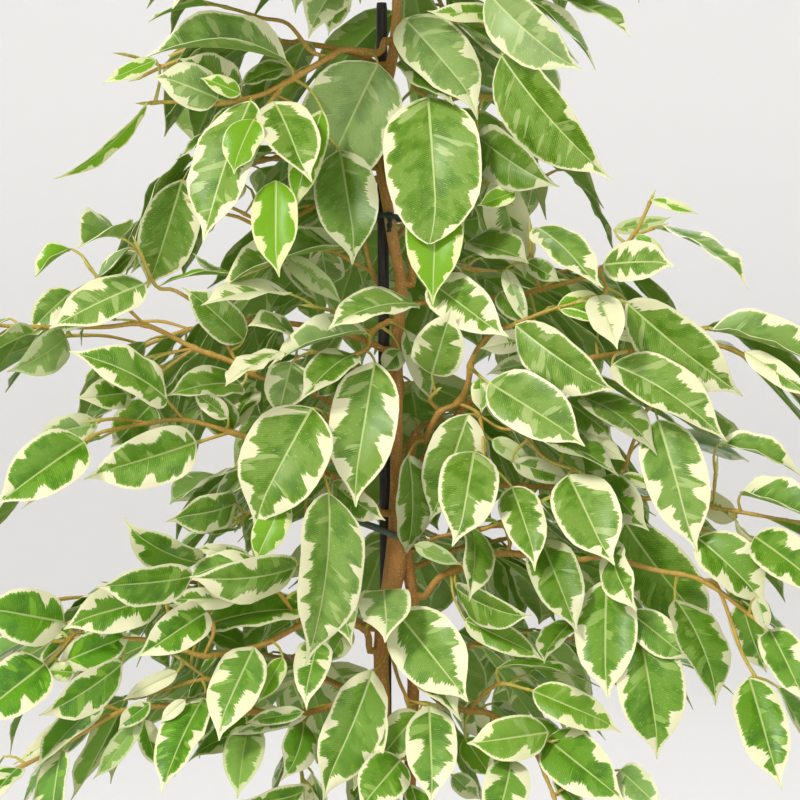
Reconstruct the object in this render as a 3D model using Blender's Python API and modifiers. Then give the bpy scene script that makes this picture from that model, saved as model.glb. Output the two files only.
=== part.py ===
"""A variegated weeping fig in a plain clay pot: pot, soil, cane, ties, stems and leafy branches.

Metres, +Z up, the origin at the middle of the pot's base, and the photo's camera looks along +Y.
A shoot or leaf seen in the photo is placed by the picture point where it is seen and by how many
millimetres it stands in front of the stems, so PX_MM and the camera's place turn both into metres.
"""
import math
import random

import bpy
import bmesh
from mathutils import Vector
from mathutils.bvhtree import BVHTree

MM = 0.001
PX_MM = 0.54            # one picture point is this many millimetres at the stems
PHOTO_MIDDLE = 400.0    # the picture's centre, in picture points, across and down
CAMERA_RIGHT = 5.4      # mm to the right of the pot's axis
CAMERA_HEIGHT = 441.0   # mm above the pot's base
CAMERA_DISTANCE = 1250.0  # mm in front of the pot's axis

POT_HEIGHT = 150.0
POT_BASE_RADIUS = 64.0
POT_NECK_RADIUS = 82.0
POT_RIM_RADIUS = 90.0
POT_RIM_HEIGHT = 30.0
POT_WALL = 6.5
POT_FLOOR = 8.0
DRAIN_RADIUS = 5.0
DRAIN_OFFSET = 30.0
SOIL_TOP = 131.0
SEAT_GAP = 0.3          # mm left between pieces that rest on each other
CANE_RADIUS = 3.1
LEAF_THICK = 1.3        # mm at the midrib
PETIOLE_RADIUS = 0.75
ROOT_RADIUS = 0.45      # of a petiole, inside its twig
LONGEST_PETIOLE = 30.0
SMALL_LEAF = 420.0      # seen length by width in square mm: a smaller leaf only keeps its place free
FOLDED_BACK = -0.35     # least cosine between a petiole and its blade
FILLER_LIMIT = 104      # leaves placed by rule, on top of those read from the photo

# name: picture point across, down, mm towards the camera, radius in mm
STEM_MAIN = [
    (389, 1020, 8.6, 4.6), (387, 900, 8.0, 4.4), (384, 800, 8.4, 4.3), (382, 700, 8.4, 4.2),
    (381.5, 640, 8.2, 3.9), (388, 590, 8.0, 3.9), (392, 560, 7.6, 3.9), (395.5, 520, 7.4, 3.8),
    (396.5, 480, 6.6, 3.5), (396.5, 420, 6.0, 3.3), (397, 350, 5.2, 3.2), (400.5, 300, 5.0, 3.1),
    (400, 275, 5.2, 3.0), (394, 245, 6.4, 3.0), (389, 215, 7.2, 3.0), (385, 190, 7.2, 3.0),
    (379.6, 150, 7.2, 2.95), (382, 110, 7.2, 2.9), (390, 70, 6.8, 2.9), (395, 40, 6.0, 2.8),
    (397, 0, 5.0, 2.6), (398, -60, 4.0, 2.3), (396, -130, 3.0, 2.0), (399, -200, 2.0, 1.6),
    (397, -270, 1.0, 1.3), (398, -325, 0.0, 1.0)]
STEM_SECOND = [
    (400, 1020, 2.0, 3.6), (404, 900, 2.6, 3.5), (409, 800, 3.0, 3.4), (413, 700, 3.0, 3.3),
    (414, 640, 3.0, 3.3), (413, 600, 3.0, 3.3), (410, 580, 3.0, 3.2), (406.5, 555, 3.0, 3.1),
    (406, 520, 2.6, 3.0), (408, 480, 1.0, 2.9), (411, 450, 0.0, 2.8), (417, 432, -1.0, 2.4)]
CANE = [(386.5, 1020, 0), (385.5, 600, 0), (383.5, 300, 0), (381.6, 3, 0)]

# Each leafy branch: the stem it grows from, the height where it leaves it (picture points down),
# radii at both ends, its own line, and its side twigs, which start on that line.
BRANCHES = {
    "branch_left_top": ("main", 42, 2.1, 0.9,
        [(378, 53, 13), (345, 50, 20), (330, 57, 24), (285, 83, 32), (255, 97, 38),
         (215, 104, 42), (172, 102, 46), (150, 103, 49)],
        [[(285, 83, 32), (270, 102, 37), (262, 118, 42)],
         [(330, 57, 24), (311, 51, 24), (288, 24, 22), (262, 18, 21), (240, 11, 20), (205, 2, 18)]]),
    "branch_left_upper": ("main", 168, 1.5, 0.9,
        [(352, 178, 12), (305, 212, 22), (265, 226, 30), (238, 217, 34), (222, 213, 38),
         (195, 203, 42)],
        [[(265, 226, 30), (245, 214, 33), (224, 204, 36)]]),
    "branch_left_fork": ("main", 300, 1.7, 0.9,
        [(391, 295, -8), (380, 285, -7.5), (372, 272, -3), (366, 250, 4), (361, 228, 10), (352, 205, 14)],
        [[(372, 272, -3), (358, 265, 2), (332, 251, 8), (305, 247, 14), (285, 255, 18)]]),
    "branch_left_mid": ("main", 322, 1.5, 0.9,
        [(384, 324, 10), (372, 332, 14), (365, 350, 19), (340, 357, 26), (316, 352, 32)],
        [[(372, 332, 14), (350, 323, 17), (335, 312, 21), (314, 307, 26)]]),
    "branch_left_long": ("main", 438, 2.0, 0.9,
        [(398, 437, -6), (392, 434, -9.5), (378, 427, -8.5), (350, 412, 2), (310, 392, 12),
         (258, 376, 26), (230, 361, 33),
         (194, 348, 40), (145, 325, 52), (102, 327, 60), (25, 327, 74), (-32, 322, 82)],
        [[(145, 325, 52), (126, 307, 56), (108, 290, 62), (90, 268, 68)],
         [(194, 348, 40), (163, 370, 46)],
         [(194, 348, 40), (149, 357, 49)],
         [(237, 364, 31), (209, 316, 36), (176, 291, 42), (156, 286, 47), (139, 250, 52)]]),
    "branch_left_inner": ("main", 372, 1.5, 0.9,
        [(384, 375, 10), (360, 385, 18), (334, 403, 30), (329, 433, 38), (319, 459, 44),
         (305, 484, 50), (287, 497, 55)],
        [[(319, 459, 44), (328, 489, 52)], [(305, 484, 50), (306, 530, 42)]]),
    "branch_left_low": ("main", 513, 1.9, 0.9,
        [(379, 511, 13), (362, 493, 17), (335, 478, 24), (290, 455, 34), (231, 432, 46),
         (184, 420, 55), (150, 423, 61), (102, 432, 70), (84, 442, 76)],
        [[(231, 432, 46), (199, 442, 55)], [(184, 420, 55), (166, 399, 62)],
         [(150, 423, 61), (120, 419, 66), (100, 420, 70)], [(290, 455, 34), (262, 500, 38), (240, 520, 42)]]),
    "branch_left_leafy": ("main", 650, 1.9, 0.9,
        [(367, 632, 13), (350, 623, 18), (322, 614, 26), (300, 625, 33), (262, 645, 44),
         (230, 652, 51), (204, 656, 56), (180, 649, 62), (150, 640, 68), (94, 639, 80),
         (54, 641, 88), (20, 632, 94)],
        [[(94, 639, 80), (77, 632, 83), (62, 648, 88), (45, 665, 92)],
         [(204, 656, 56), (214, 630, 54), (207, 612, 54), (200, 585, 56)],
         [(180, 649, 62), (170, 620, 66), (166, 600, 70)],
         [(300, 625, 33), (285, 600, 40), (262, 575, 48), (256, 561, 52)]]),
    "branch_left_bottom": ("main", 692, 1.9, 0.9,
        [(350, 700, 18), (305, 713, 30), (255, 712, 41), (205, 705, 52), (158, 706, 61),
         (122, 711, 69), (89, 729, 76), (50, 752, 84), (20, 767, 90), (-22, 785, 97)],
        [[(255, 712, 41), (230, 690, 47), (207, 679, 51), (172, 688, 56), (140, 697, 61)],
         [(122, 711, 69), (102, 704, 75)], [(207, 679, 51), (182, 660, 56)],
         [(305, 713, 30), (300, 750, 34), (303, 785, 36)]]),
    "branch_low_front": ("main", 622, 1.1, 0.9,
        [(391, 650, 18), (398, 678, 21), (407, 700, 24), (411, 725, 27), (402, 752, 31),
         (396, 775, 34)],
        [[(391, 650, 18), (378, 667, 25), (372, 672, 30)], [(407, 700, 24), (427, 705, 30)]]),
    "branch_right_low": ("second", 596, 2.0, 0.9,
        [(440, 577, 11), (457, 570, 16), (489, 557, 25), (507, 553, 31), (533, 556, 37),
         (575, 560, 46), (607, 557, 54), (655, 570, 62), (701, 580, 70), (749, 614, 79),
         (783, 645, 86), (812, 668, 92)],
        [[(507, 553, 31), (510, 543, 34), (505, 526, 38)],
         [(607, 557, 54), (612, 580, 59), (625, 600, 63), (635, 622, 67), (650, 650, 70)],
         [(701, 580, 70), (716, 584, 71), (732, 624, 75), (742, 653, 79), (756, 678, 84)]]),
    "branch_right_thin": ("second", 550, 1.2, 0.9,
        [(428, 541, 8), (455, 533, 12), (480, 530, 17), (502, 522, 22), (528, 508, 28),
         (545, 500, 33)], []),
    "branch_right_dark": ("second", 566, 1.3, 0.9,
        [(431, 560, -4), (460, 548, -14), (500, 540, -26), (545, 530, -40), (590, 535, -54)],
        [[(500, 540, -26), (520, 560, -34), (545, 580, -40)]]),
    "branch_right_core": ("second", 440, 2.0, 0.9,
        [(440, 412, 9), (458, 403, 15), (468, 383, 21), (472, 360, 26), (487, 337, 32),
         (508, 327, 38), (545, 312, 44), (575, 303, 49)],
        [[(458, 403, 15), (478, 414, 23), (483, 440, 32), (484, 462, 38)],
         [(440, 412, 9), (430, 400, 14), (436, 392, 20)],
         [(478, 414, 23), (500, 428, 30), (520, 432, 36), (545, 458, 42), (575, 470, 48)]]),
    "branch_right_long": ("second", 462, 1.9, 0.9,
        [(436, 440, -8), (470, 402, -12), (505, 380, -6), (540, 367, 5), (565, 362, 14),
         (609, 355, 30), (665, 345, 46), (720, 346, 60), (755, 362, 69), (800, 395, 80),
         (836, 415, 86)],
        [[(665, 345, 46), (700, 330, 56), (712, 329, 60)]]),
    "branch_right_top": ("main", 305, 1.6, 0.9,
        [(440, 300, 5), (490, 298, 10), (540, 290, 21), (599, 270, 38), (632, 237, 50),
         (643, 218, 54), (650, 202, 57)],
        [[(632, 237, 50), (654, 228, 56)], [(599, 270, 38), (606, 288, 44), (601, 300, 49)],
         [(540, 290, 21), (532, 262, 26), (530, 235, 32)]]),
    "branch_right_mid": ("second", 482, 1.7, 0.9,
        [(450, 480, -6), (500, 485, -4), (560, 488, 8), (600, 492, 24), (637, 498, 36),
         (665, 501, 44), (698, 528, 56), (735, 540, 66), (757, 543, 72)],
        [[(600, 492, 24), (621, 474, 32), (633, 443, 37), (645, 413, 42), (652, 402, 46)],
         [(665, 501, 44), (729, 510, 58), (785, 520, 70), (830, 526, 78)]]),
    "branch_bottom_right": ("second", 655, 1.9, 0.9,
        [(430, 690, 8), (448, 706, 13), (470, 711, 18), (490, 714, 24), (520, 734, 31),
         (535, 752, 36), (545, 775, 41), (555, 800, 45), (560, 822, 48)],
        [[(520, 734, 31), (546, 740, 38)], [(470, 711, 18), (480, 698, 24), (500, 684, 31), (530, 690, 38)],
         [(490, 714, 24), (508, 745, 31), (512, 762, 36)]]),
    "branch_upright": ("main", 284, 2.1, 1.0,
        [(411, 254, 4), (417, 220, 3), (420, 170, 1), (422, 125, 4), (450, 100, 12),
         (500, 97, 22), (540, 104, 30)],
        [[(417, 220, 3), (450, 200, 12), (480, 185, 20), (500, 175, 27)]]),
    "branch_top_right": ("main", 48, 1.3, 0.9,
        [(403, 60, 13), (415, 88, 19), (428, 97, 24)], []),
    "branch_top_front": ("main", 30, 1.7, 0.9,
        [(415, 32, 11), (440, 27, 14), (470, 14, 19), (500, 2, 25), (535, -16, 31)],
        [[(470, 14, 19), (492, 30, 26), (504, 50, 33)]]),
    "branch_top_left": ("main", -18, 1.7, 0.9,
        [(370, -22, 12), (345, -36, 20), (310, -46, 28), (270, -44, 34)],
        [[(345, -36, 20), (352, -10, 24)]]),
}

# Leaves read from the photo: base across, base down, tip across, tip down, seen width, mm towards
# the camera, tone and pose. Tones: g green with a pale edge, d dark, p pale in the light, y fresh,
# l lime, c mostly cream, o seen from beneath, b withered. Poses: R or L only that half is seen (right
# or left hand walking to the tip), r or l that half is wider, e on edge, - the tip leans away.
PHOTO_LEAVES = [
    (286, 61, 145, 53, 38, 38, "g", "R"), (156, 60, 103, 84, 17, 52, "l", ""),
    (240, 95, 180, 57, 44, 28, "g", ""), (218, 99, 154, 74, 46, 20, "p", "-"),
    (240, 94, 200, 77, 20, 48, "l", ""), (292, 68, 238, 88, 26, 24, "d", ""),
    (147, 103, 55, 182, 12, 50, "l", "e"), (251, 101, 204, 241, 64, 46, "g", "r"),
    (238, 165, 204, 238, 34, 34, "g", "-"), (254, 120, 232, 174, 42, 64, "l", "r"),
    (274, 102, 306, 181, 60, 44, "g", "l"), (322, 110, 293, 210, 34, 40, "l", ""),
    (378, 64, 319, 189, 98, 26, "p", ""), (340, 150, 358, 262, 64, 22, "d", ""),
    (276, 181, 276, 276, 47, 44, "l", ""), (182, 180, 148, 289, 62, 34, "g", "l"),
    (245, 185, 225, 205, 14, 30, "c", ""), (121, 238, 78, 249, 32, 54, "g", "R"),
    (71, 249, 36, 278, 16, 70, "l", "R"), (350, 248, 213, 291, 30, 20, "g", "R"),
    (288, 258, 345, 303, 24, 14, "o", ""), (283, 262, 318, 302, 14, 8, "d", "-"),
    (228, 272, 193, 253, 9, 8, "p", "e"), (320, 240, 328, 285, 40, 0, "p", "-"),
    (367, 333, 268, 366, 24, 26, "p", "R"), (418, 305, 325, 330, 38, 22, "g", "r"),
    (375, 362, 351, 506, 70, 26, "g", ""), (355, 355, 303, 400, 38, 20, "d", ""),
    (292, 362, 278, 418, 44, 36, "p", ""), (290, 294, 203, 306, 28, 28, "c", ""),
    (297, 338, 248, 322, 26, 18, "g", ""), (400, 350, 383, 372, 24, 13, "d", ""),
    (145, 284, 50, 329, 50, 56, "g", "r"), (127, 307, 42, 334, 18, 54, "d", ""),
    (72, 292, 28, 334, 34, 50, "g", ""), (66, 337, 10, 373, 34, 66, "o", ""),
    (167, 400, 69, 353, 45, 64, "g", "r"), (244, 340, 184, 286, 40, 30, "d", ""),
    (239, 277, 157, 286, 12, 40, "l", "e"), (280, 352, 222, 387, 28, 40, "c", ""),
    (242, 386, 166, 397, 38, 34, "d", "r"), (312, 408, 249, 528, 86, 46, "g", ""),
    (328, 493, 306, 664, 66, 54, "g", ""), (285, 500, 254, 564, 34, 58, "l", ""),
    (294, 492, 250, 520, 26, 40, "g", ""), (300, 590, 326, 660, 28, 38, "g", "-"),
    (345, 372, 316, 398, 22, 24, "d", ""), (332, 482, 386, 520, 28, 24, "g", ""),
    (330, 478, 300, 497, 22, 34, "d", "-"), (130, 394, 78, 401, 34, 56, "g", ""),
    (232, 430, 200, 392, 36, 40, "d", ""), (233, 430, 258, 388, 30, 40, "g", "-"),
    (228, 418, 192, 391, 22, 46, "g", ""), (98, 423, 34, 438, 30, 66, "p", ""),
    (84, 442, -5, 506, 62, 78, "g", ""), (87, 443, 20, 508, 9, 70, "c", "e"),
    (196, 442, 83, 476, 60, 56, "g", "l"), (152, 404, 112, 448, 44, 48, "d", ""),
    (236, 503, 166, 517, 36, 42, "g", ""), (234, 468, 180, 500, 10, 40, "c", "e"),
    (240, 528, 172, 520, 11, 40, "d", "e"), (198, 562, 121, 522, 38, 58, "g", ""),
    (192, 576, 98, 585, 40, 54, "g", ""), (163, 597, 61, 625, 50, 72, "g", ""),
    (64, 622, -22, 606, 58, 88, "g", ""), (256, 560, 184, 580, 26, 54, "g", ""),
    (250, 556, 192, 547, 15, 48, "g", ""), (297, 566, 189, 577, 42, 58, "g", "l"),
    (240, 598, 163, 600, 24, 62, "g", ""), (203, 627, 322, 612, 40, 46, "g", ""),
    (207, 612, 135, 660, 44, 58, "g", ""), (214, 606, 162, 603, 10, 54, "c", "e"),
    (205, 630, 250, 652, 30, 42, "d", "-"), (73, 672, 47, 670, 20, 92, "l", ""),
    (45, 664, -32, 725, 60, 95, "g", ""), (60, 663, 134, 634, 38, 88, "g", ""),
    (254, 647, 213, 738, 52, 54, "g", ""), (204, 698, 162, 793, 46, 60, "g", "r"),
    (122, 663, 40, 716, 38, 76, "g", ""), (101, 702, 15, 767, 24, 88, "g", ""),
    (100, 706, 38, 769, 32, 80, "g", ""), (143, 716, 95, 781, 22, 72, "o", ""),
    (60, 748, 38, 812, 22, 86, "o", ""), (18, 768, -12, 806, 30, 94, "g", ""),
    (248, 726, 237, 799, 42, 52, "o", ""), (150, 703, 117, 728, 20, 66, "d", ""),
    (144, 720, 160, 771, 24, 64, "g", ""), (205, 693, 150, 697, 10, 56, "d", "e"),
    (177, 672, 122, 699, 18, 60, "c", ""), (185, 700, 160, 722, 14, 64, "c", ""),
    (303, 791, 240, 801, 30, 38, "g", ""), (303, 722, 285, 781, 34, 40, "d", ""),
    (305, 717, 225, 735, 14, 46, "d", ""), (303, 712, 245, 722, 18, 38, "d", ""),
    (283, 658, 258, 703, 22, 48, "l", ""), (318, 640, 302, 709, 38, 40, "g", ""),
    (372, 670, 317, 797, 62, 34, "g", "l"), (372, 701, 357, 791, 42, 42, "y", ""),
    (429, 706, 433, 804, 52, 34, "g", ""), (418, 712, 372, 768, 40, 28, "y", ""),
    (400, 760, 356, 812, 50, 38, "g", ""), (384, 590, 388, 641, 54, 40, "p", ""),
    (348, 627, 326, 665, 26, 26, "d", ""), (415, 545, 462, 566, 18, 12, "o", ""),
    (470, 526, 467, 599, 34, 28, "g", "l"), (457, 588, 533, 619, 32, 26, "g", ""),
    (465, 620, 546, 659, 30, 36, "y", ""), (397, 612, 468, 701, 70, 34, "g", ""),
    (395, 638, 458, 722, 44, 24, "g", ""), (548, 732, 467, 744, 46, 42, "y", ""),
    (533, 691, 623, 729, 40, 42, "y", ""), (547, 739, 627, 803, 60, 42, "g", ""),
    (512, 760, 492, 842, 48, 40, "g", ""), (465, 738, 492, 778, 28, 16, "l", ""),
    (472, 700, 478, 738, 30, 12, "g", ""), (498, 668, 600, 688, 14, 38, "d", "e"),
    (572, 622, 540, 662, 26, 38, "d", ""), (607, 580, 606, 699, 64, 62, "g", "r"),
    (630, 612, 690, 661, 40, 66, "g", ""), (639, 628, 660, 759, 72, 72, "g", ""),
    (675, 600, 719, 704, 50, 64, "d", ""), (622, 517, 714, 632, 62, 74, "g", ""),
    (612, 545, 638, 611, 30, 62, "g", ""), (658, 420, 694, 553, 64, 60, "g", ""),
    (697, 538, 767, 607, 60, 76, "g", "l"), (755, 537, 836, 600, 50, 78, "g", ""),
    (742, 600, 768, 673, 30, 76, "g", ""), (757, 598, 767, 632, 18, 72, "d", ""),
    (770, 630, 807, 708, 44, 84, "g", ""), (749, 678, 780, 789, 52, 86, "g", ""),
    (620, 770, 664, 812, 36, 46, "p", ""), (553, 775, 587, 816, 18, 38, "d", ""),
    (452, 775, 480, 800, 22, 12, "p", ""), (568, 475, 610, 565, 66, 54, "g", ""),
    (512, 487, 539, 569, 44, 42, "g", ""), (541, 540, 578, 634, 52, 48, "d", ""),
    (520, 430, 620, 476, 36, 44, "d", ""), (512, 462, 572, 480, 24, 32, "d", ""),
    (474, 452, 457, 548, 60, 44, "g", ""), (468, 414, 432, 521, 58, 34, "g", ""),
    (489, 383, 586, 444, 62, 44, "g", ""), (408, 455, 406, 557, 38, 20, "d", ""),
    (516, 325, 614, 394, 48, 48, "g", ""), (431, 283, 506, 339, 52, 36, "g", ""),
    (432, 374, 452, 308, 52, 28, "g", ""), (405, 330, 432, 402, 24, 18, "d", ""),
    (480, 378, 482, 413, 20, 34, "y", ""), (437, 185, 432, 304, 60, 34, "l", ""),
    (582, 398, 657, 452, 40, 40, "d", ""), (565, 400, 615, 438, 38, 30, "d", ""),
    (580, 430, 626, 462, 22, 34, "c", ""), (492, 440, 531, 463, 20, 26, "o", ""),
    (622, 475, 657, 488, 14, 40, "y", ""), (600, 478, 646, 531, 40, 38, "d", ""),
    (735, 520, 690, 492, 28, 54, "c", ""), (735, 520, 767, 545, 10, 60, "c", "e"),
    (718, 445, 803, 477, 20, 60, "g", "L"), (741, 494, 833, 530, 28, 70, "g", "L"),
    (612, 365, 726, 442, 58, 56, "g", "l"), (627, 302, 744, 395, 54, 56, "g", ""),
    (712, 330, 832, 372, 30, 68, "g", "L"), (745, 352, 812, 397, 24, 74, "g", ""),
    (603, 265, 677, 262, 42, 44, "g", ""), (655, 227, 752, 285, 28, 60, "g", "l"),
    (651, 200, 698, 214, 12, 60, "l", ""), (614, 230, 672, 219, 16, 44, "o", ""),
    (636, 236, 667, 257, 14, 54, "l", ""), (404, 19, 484, 113, 70, 26, "p", "l"),
    (502, 55, 612, 180, 56, 38, "g", ""), (512, 20, 535, 62, 34, 28, "d", ""),
    (530, 25, 552, 60, 20, 22, "d", ""), (488, -8, 580, 73, 52, 38, "p", ""),
    (545, -5, 633, 35, 34, 34, "g", ""), (428, 97, 438, 243, 98, 34, "p", ""),
    (478, 135, 557, 188, 46, 24, "d", ""), (392, 120, 402, 198, 26, 18, "d", ""),
    (402, 60, 452, 105, 40, 16, "d", ""), (515, 192, 478, 207, 22, 40, "l", ""),
    (500, 172, 531, 277, 44, 32, "c", ""), (466, 243, 532, 262, 38, 20, "d", ""),
    (537, 228, 598, 291, 44, 40, "g", ""), (527, 262, 560, 282, 22, 28, "d", ""),
    (500, 292, 528, 325, 28, 22, "d", ""), (505, 270, 528, 327, 18, 28, "p", ""),
    (600, 300, 553, 308, 24, 52, "l", ""), (598, 296, 618, 349, 38, 46, "c", ""),
    (560, 310, 600, 322, 10, 46, "l", ""), (630, 308, 613, 325, 12, 36, "b", ""),
    (600, 330, 662, 346, 12, 34, "c", ""), (528, 338, 480, 350, 24, 34, "c", ""),
    (542, 362, 486, 372, 22, 14, "p", ""), (553, 378, 612, 394, 16, 22, "d", ""),
    (352, -40, 306, 35, 50, 30, "p", ""), (345, -5, 326, 35, 24, 26, "g", ""),
    (500, 14, 427, 15, 22, 28, "y", ""),
]

# Where the photo's wall shows between the leaves: across, down and radius in picture points.
OPEN_PLACES = [
    (60, 60, 98), (30, 170, 60), (90, 200, 20), (130, 150, 34), (120, 218, 16), (225, 12, 14),
    (247, 69, 10), (345, 33, 12), (365, 44, 9), (238, 216, 20), (222, 240, 10), (185, 264, 12),
    (213, 259, 9), (372, 238, 7), (371, 257, 5), (308, 300, 11), (345, 285, 8), (300, 322, 11),
    (125, 342, 12), (165, 340, 14), (95, 346, 11), (170, 312, 20), (130, 300, 4), (212, 345, 13),
    (190, 366, 10), (45, 395, 30), (60, 350, 14), (60, 545, 56), (130, 505, 34), (100, 560, 26),
    (215, 455, 20), (290, 530, 12), (374, 522, 5), (427, 577, 12), (492, 535, 13), (520, 545, 12),
    (500, 110, 10), (700, 90, 98), (640, 60, 40), (620, 150, 40), (565, 200, 20), (580, 218, 16),
    (770, 220, 70), (700, 270, 12), (720, 300, 14), (640, 282, 9), (748, 398, 24), (780, 430, 22),
    (610, 455, 9), (640, 455, 10), (655, 442, 7), (652, 488, 6), (668, 516, 7), (735, 474, 10),
    (730, 492, 6), (785, 508, 8), (785, 533, 8), (733, 605, 8), (735, 650, 7), (715, 740, 28),
    (700, 785, 34), (615, 702, 14), (630, 750, 16), (690, 720, 12), (530, 785, 16), (105, 690, 10),
    (150, 682, 5), (85, 790, 15), (140, 785, 18), (195, 790, 10), (250, 768, 14), (350, 668, 12),
    (398, 670, 7), (325, 706, 7), (790, 770, 10), (20, 745, 10), (425, 760, 3), (560, 590, 3)]

for old in list(bpy.data.objects):
    bpy.data.objects.remove(old, do_unlink=True)
random.seed(20)


def seen_at(across, down, towards):
    """The point in metres that the camera sees at a picture point, so many mm towards it."""
    scale = PX_MM * (CAMERA_DISTANCE - towards) / CAMERA_DISTANCE
    return Vector((CAMERA_RIGHT + (across - PHOTO_MIDDLE) * scale, -towards,
                   CAMERA_HEIGHT + (PHOTO_MIDDLE - down) * scale)) * MM


def in_photo(point):
    """A point in metres as picture point across, down and mm towards the camera."""
    towards = -point.y / MM
    scale = PX_MM * (CAMERA_DISTANCE - towards) / CAMERA_DISTANCE
    return (PHOTO_MIDDLE + (point.x / MM - CAMERA_RIGHT) / scale,
            PHOTO_MIDDLE - (point.z / MM - CAMERA_HEIGHT) / scale, towards)


def material(name, colour, roughness):
    made = bpy.data.materials.new(name)
    made.use_nodes = True
    shader = made.node_tree.nodes["Principled BSDF"]
    shader.inputs["Base Color"].default_value = (*colour, 1)
    shader.inputs["Roughness"].default_value = roughness
    return made


CLAY = material("clay", (0.60, 0.29, 0.17), 0.75)
SOIL = material("soil", (0.09, 0.06, 0.04), 0.9)
DARK_CANE = material("dark_cane", (0.06, 0.045, 0.04), 0.6)
BARK = material("bark", (0.42, 0.23, 0.12), 0.6)
TIE = material("tie", (0.07, 0.12, 0.10), 0.45)
LEAF = material("leaf", (0.24, 0.36, 0.14), 0.4)

plant = bpy.data.collections.new("potted_weeping_fig")
bpy.context.scene.collection.children.link(plant)
cutters = bpy.data.collections.new("cutters")
bpy.context.scene.collection.children.link(cutters)


def link(name, mesh, shade, collection=plant):
    made = bpy.data.objects.new(name, mesh)
    if shade:
        mesh.materials.clear()
        mesh.materials.append(shade)
    collection.objects.link(made)
    return made


def mesh_from(name, corners, faces):
    mesh = bpy.data.meshes.new(name)
    mesh.from_pydata([tuple(c) for c in corners], [], faces)
    mesh.update()
    return mesh


def tube(name, points, radii, shade, sides_step=2, closed=False, collection=plant):
    """A round bar along the points; each point has its own radius in mm."""
    curve = bpy.data.curves.new(name, "CURVE")
    curve.dimensions = "3D"
    curve.bevel_depth = MM
    curve.bevel_resolution = sides_step
    curve.use_fill_caps = True
    curve.twist_mode = "MINIMUM"
    line = curve.splines.new("POLY")
    line.points.add(len(points) - 1)
    for spot, where, radius in zip(line.points, points, radii):
        spot.co = (*where, 1)
        spot.radius = radius
    line.use_cyclic_u = closed
    drawn = bpy.data.objects.new(name, curve)
    collection.objects.link(drawn)
    bpy.context.view_layer.update()
    graph = bpy.context.evaluated_depsgraph_get()
    mesh = bpy.data.meshes.new_from_object(drawn.evaluated_get(graph))
    bpy.data.objects.remove(drawn, do_unlink=True)
    work = bmesh.new()
    work.from_mesh(mesh)
    bmesh.ops.remove_doubles(work, verts=work.verts, dist=1e-6)
    bmesh.ops.recalc_face_normals(work, faces=work.faces)
    work.to_mesh(mesh)
    work.free()
    return link(name, mesh, shade, collection)


def turned(name, profile, shade, steps=40):
    """Turn a profile of (radius, height) in mm about the pot's axis, top to bottom on the outside."""
    mesh = bpy.data.meshes.new(name)
    work = bmesh.new()
    spots = [work.verts.new((r * MM, 0, z * MM)) for r, z in profile]
    for first, second in zip(spots, spots[1:]):
        work.edges.new((first, second))
    work.to_mesh(mesh)
    work.free()
    made = link(name, mesh, shade)
    screw = made.modifiers.new("turn", "SCREW")
    screw.axis = "Z"
    screw.steps = steps
    screw.render_steps = steps
    screw.use_merge_vertices = True
    screw.merge_threshold = 0.00001
    screw.use_smooth_shade = True
    return made


def hide(cutter):
    cutter.hide_render = True
    cutter.display_type = "WIRE"
    return cutter


def cut(target, cutter, name):
    drill = target.modifiers.new(name, "BOOLEAN")
    drill.operation = "DIFFERENCE"
    drill.solver = "EXACT"
    drill.object = cutter


def upright_rod(name, across, along, radius, low, high):
    bpy.ops.mesh.primitive_cylinder_add(
        vertices=16, radius=radius * MM, depth=(high - low) * MM,
        location=(across * MM, along * MM, (low + high) / 2 * MM))
    rod = bpy.context.object
    rod.name = name
    for holder in list(rod.users_collection):
        holder.objects.unlink(rod)
    cutters.objects.link(rod)
    return hide(rod)


# The pot: an open shell with a rim band and three drain holes round the middle of its floor.
RIM_LOW = POT_HEIGHT - POT_RIM_HEIGHT
pot = turned("pot", [
    (0, POT_FLOOR), (POT_BASE_RADIUS - POT_WALL, POT_FLOOR),
    (POT_NECK_RADIUS - POT_WALL, RIM_LOW - 2), (POT_RIM_RADIUS - POT_WALL - 2, POT_HEIGHT - 2),
    (POT_RIM_RADIUS - POT_WALL, POT_HEIGHT), (POT_RIM_RADIUS - 2, POT_HEIGHT),
    (POT_RIM_RADIUS, POT_HEIGHT - 2.5), (POT_RIM_RADIUS - 1.5, RIM_LOW + 1.5),
    (POT_RIM_RADIUS - 3, RIM_LOW), (POT_NECK_RADIUS, RIM_LOW - 1),
    (POT_BASE_RADIUS + 1, 2), (POT_BASE_RADIUS - 1, 0), (0, 0)], CLAY)
for turn in range(3):
    angle = math.radians(90 + 120 * turn)
    hole = upright_rod("drain_%d" % turn, DRAIN_OFFSET * math.cos(angle),
                       DRAIN_OFFSET * math.sin(angle), DRAIN_RADIUS, -5, POT_FLOOR + 5)
    cut(pot, hole, "drain_%d" % turn)


def pot_inside(height):
    """Radius of the pot's hollow at a height, in mm."""
    low = POT_BASE_RADIUS - POT_WALL
    neck = POT_NECK_RADIUS - POT_WALL
    if height <= RIM_LOW - 2:
        return low + (neck - low) * (height - POT_FLOOR) / (RIM_LOW - 2 - POT_FLOOR)
    mouth = POT_RIM_RADIUS - POT_WALL - 2
    return neck + (mouth - neck) * (height - RIM_LOW + 2) / (POT_RIM_HEIGHT)


def along_line(points, down):
    """Point and radius of a stem at a picture height."""
    for first, second in zip(points, points[1:]):
        if second[1] <= down <= first[1]:
            part = (first[1] - down) / (first[1] - second[1])
            return [a + (b - a) * part for a, b in zip(first, second)]
    return list(points[-1])


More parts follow.
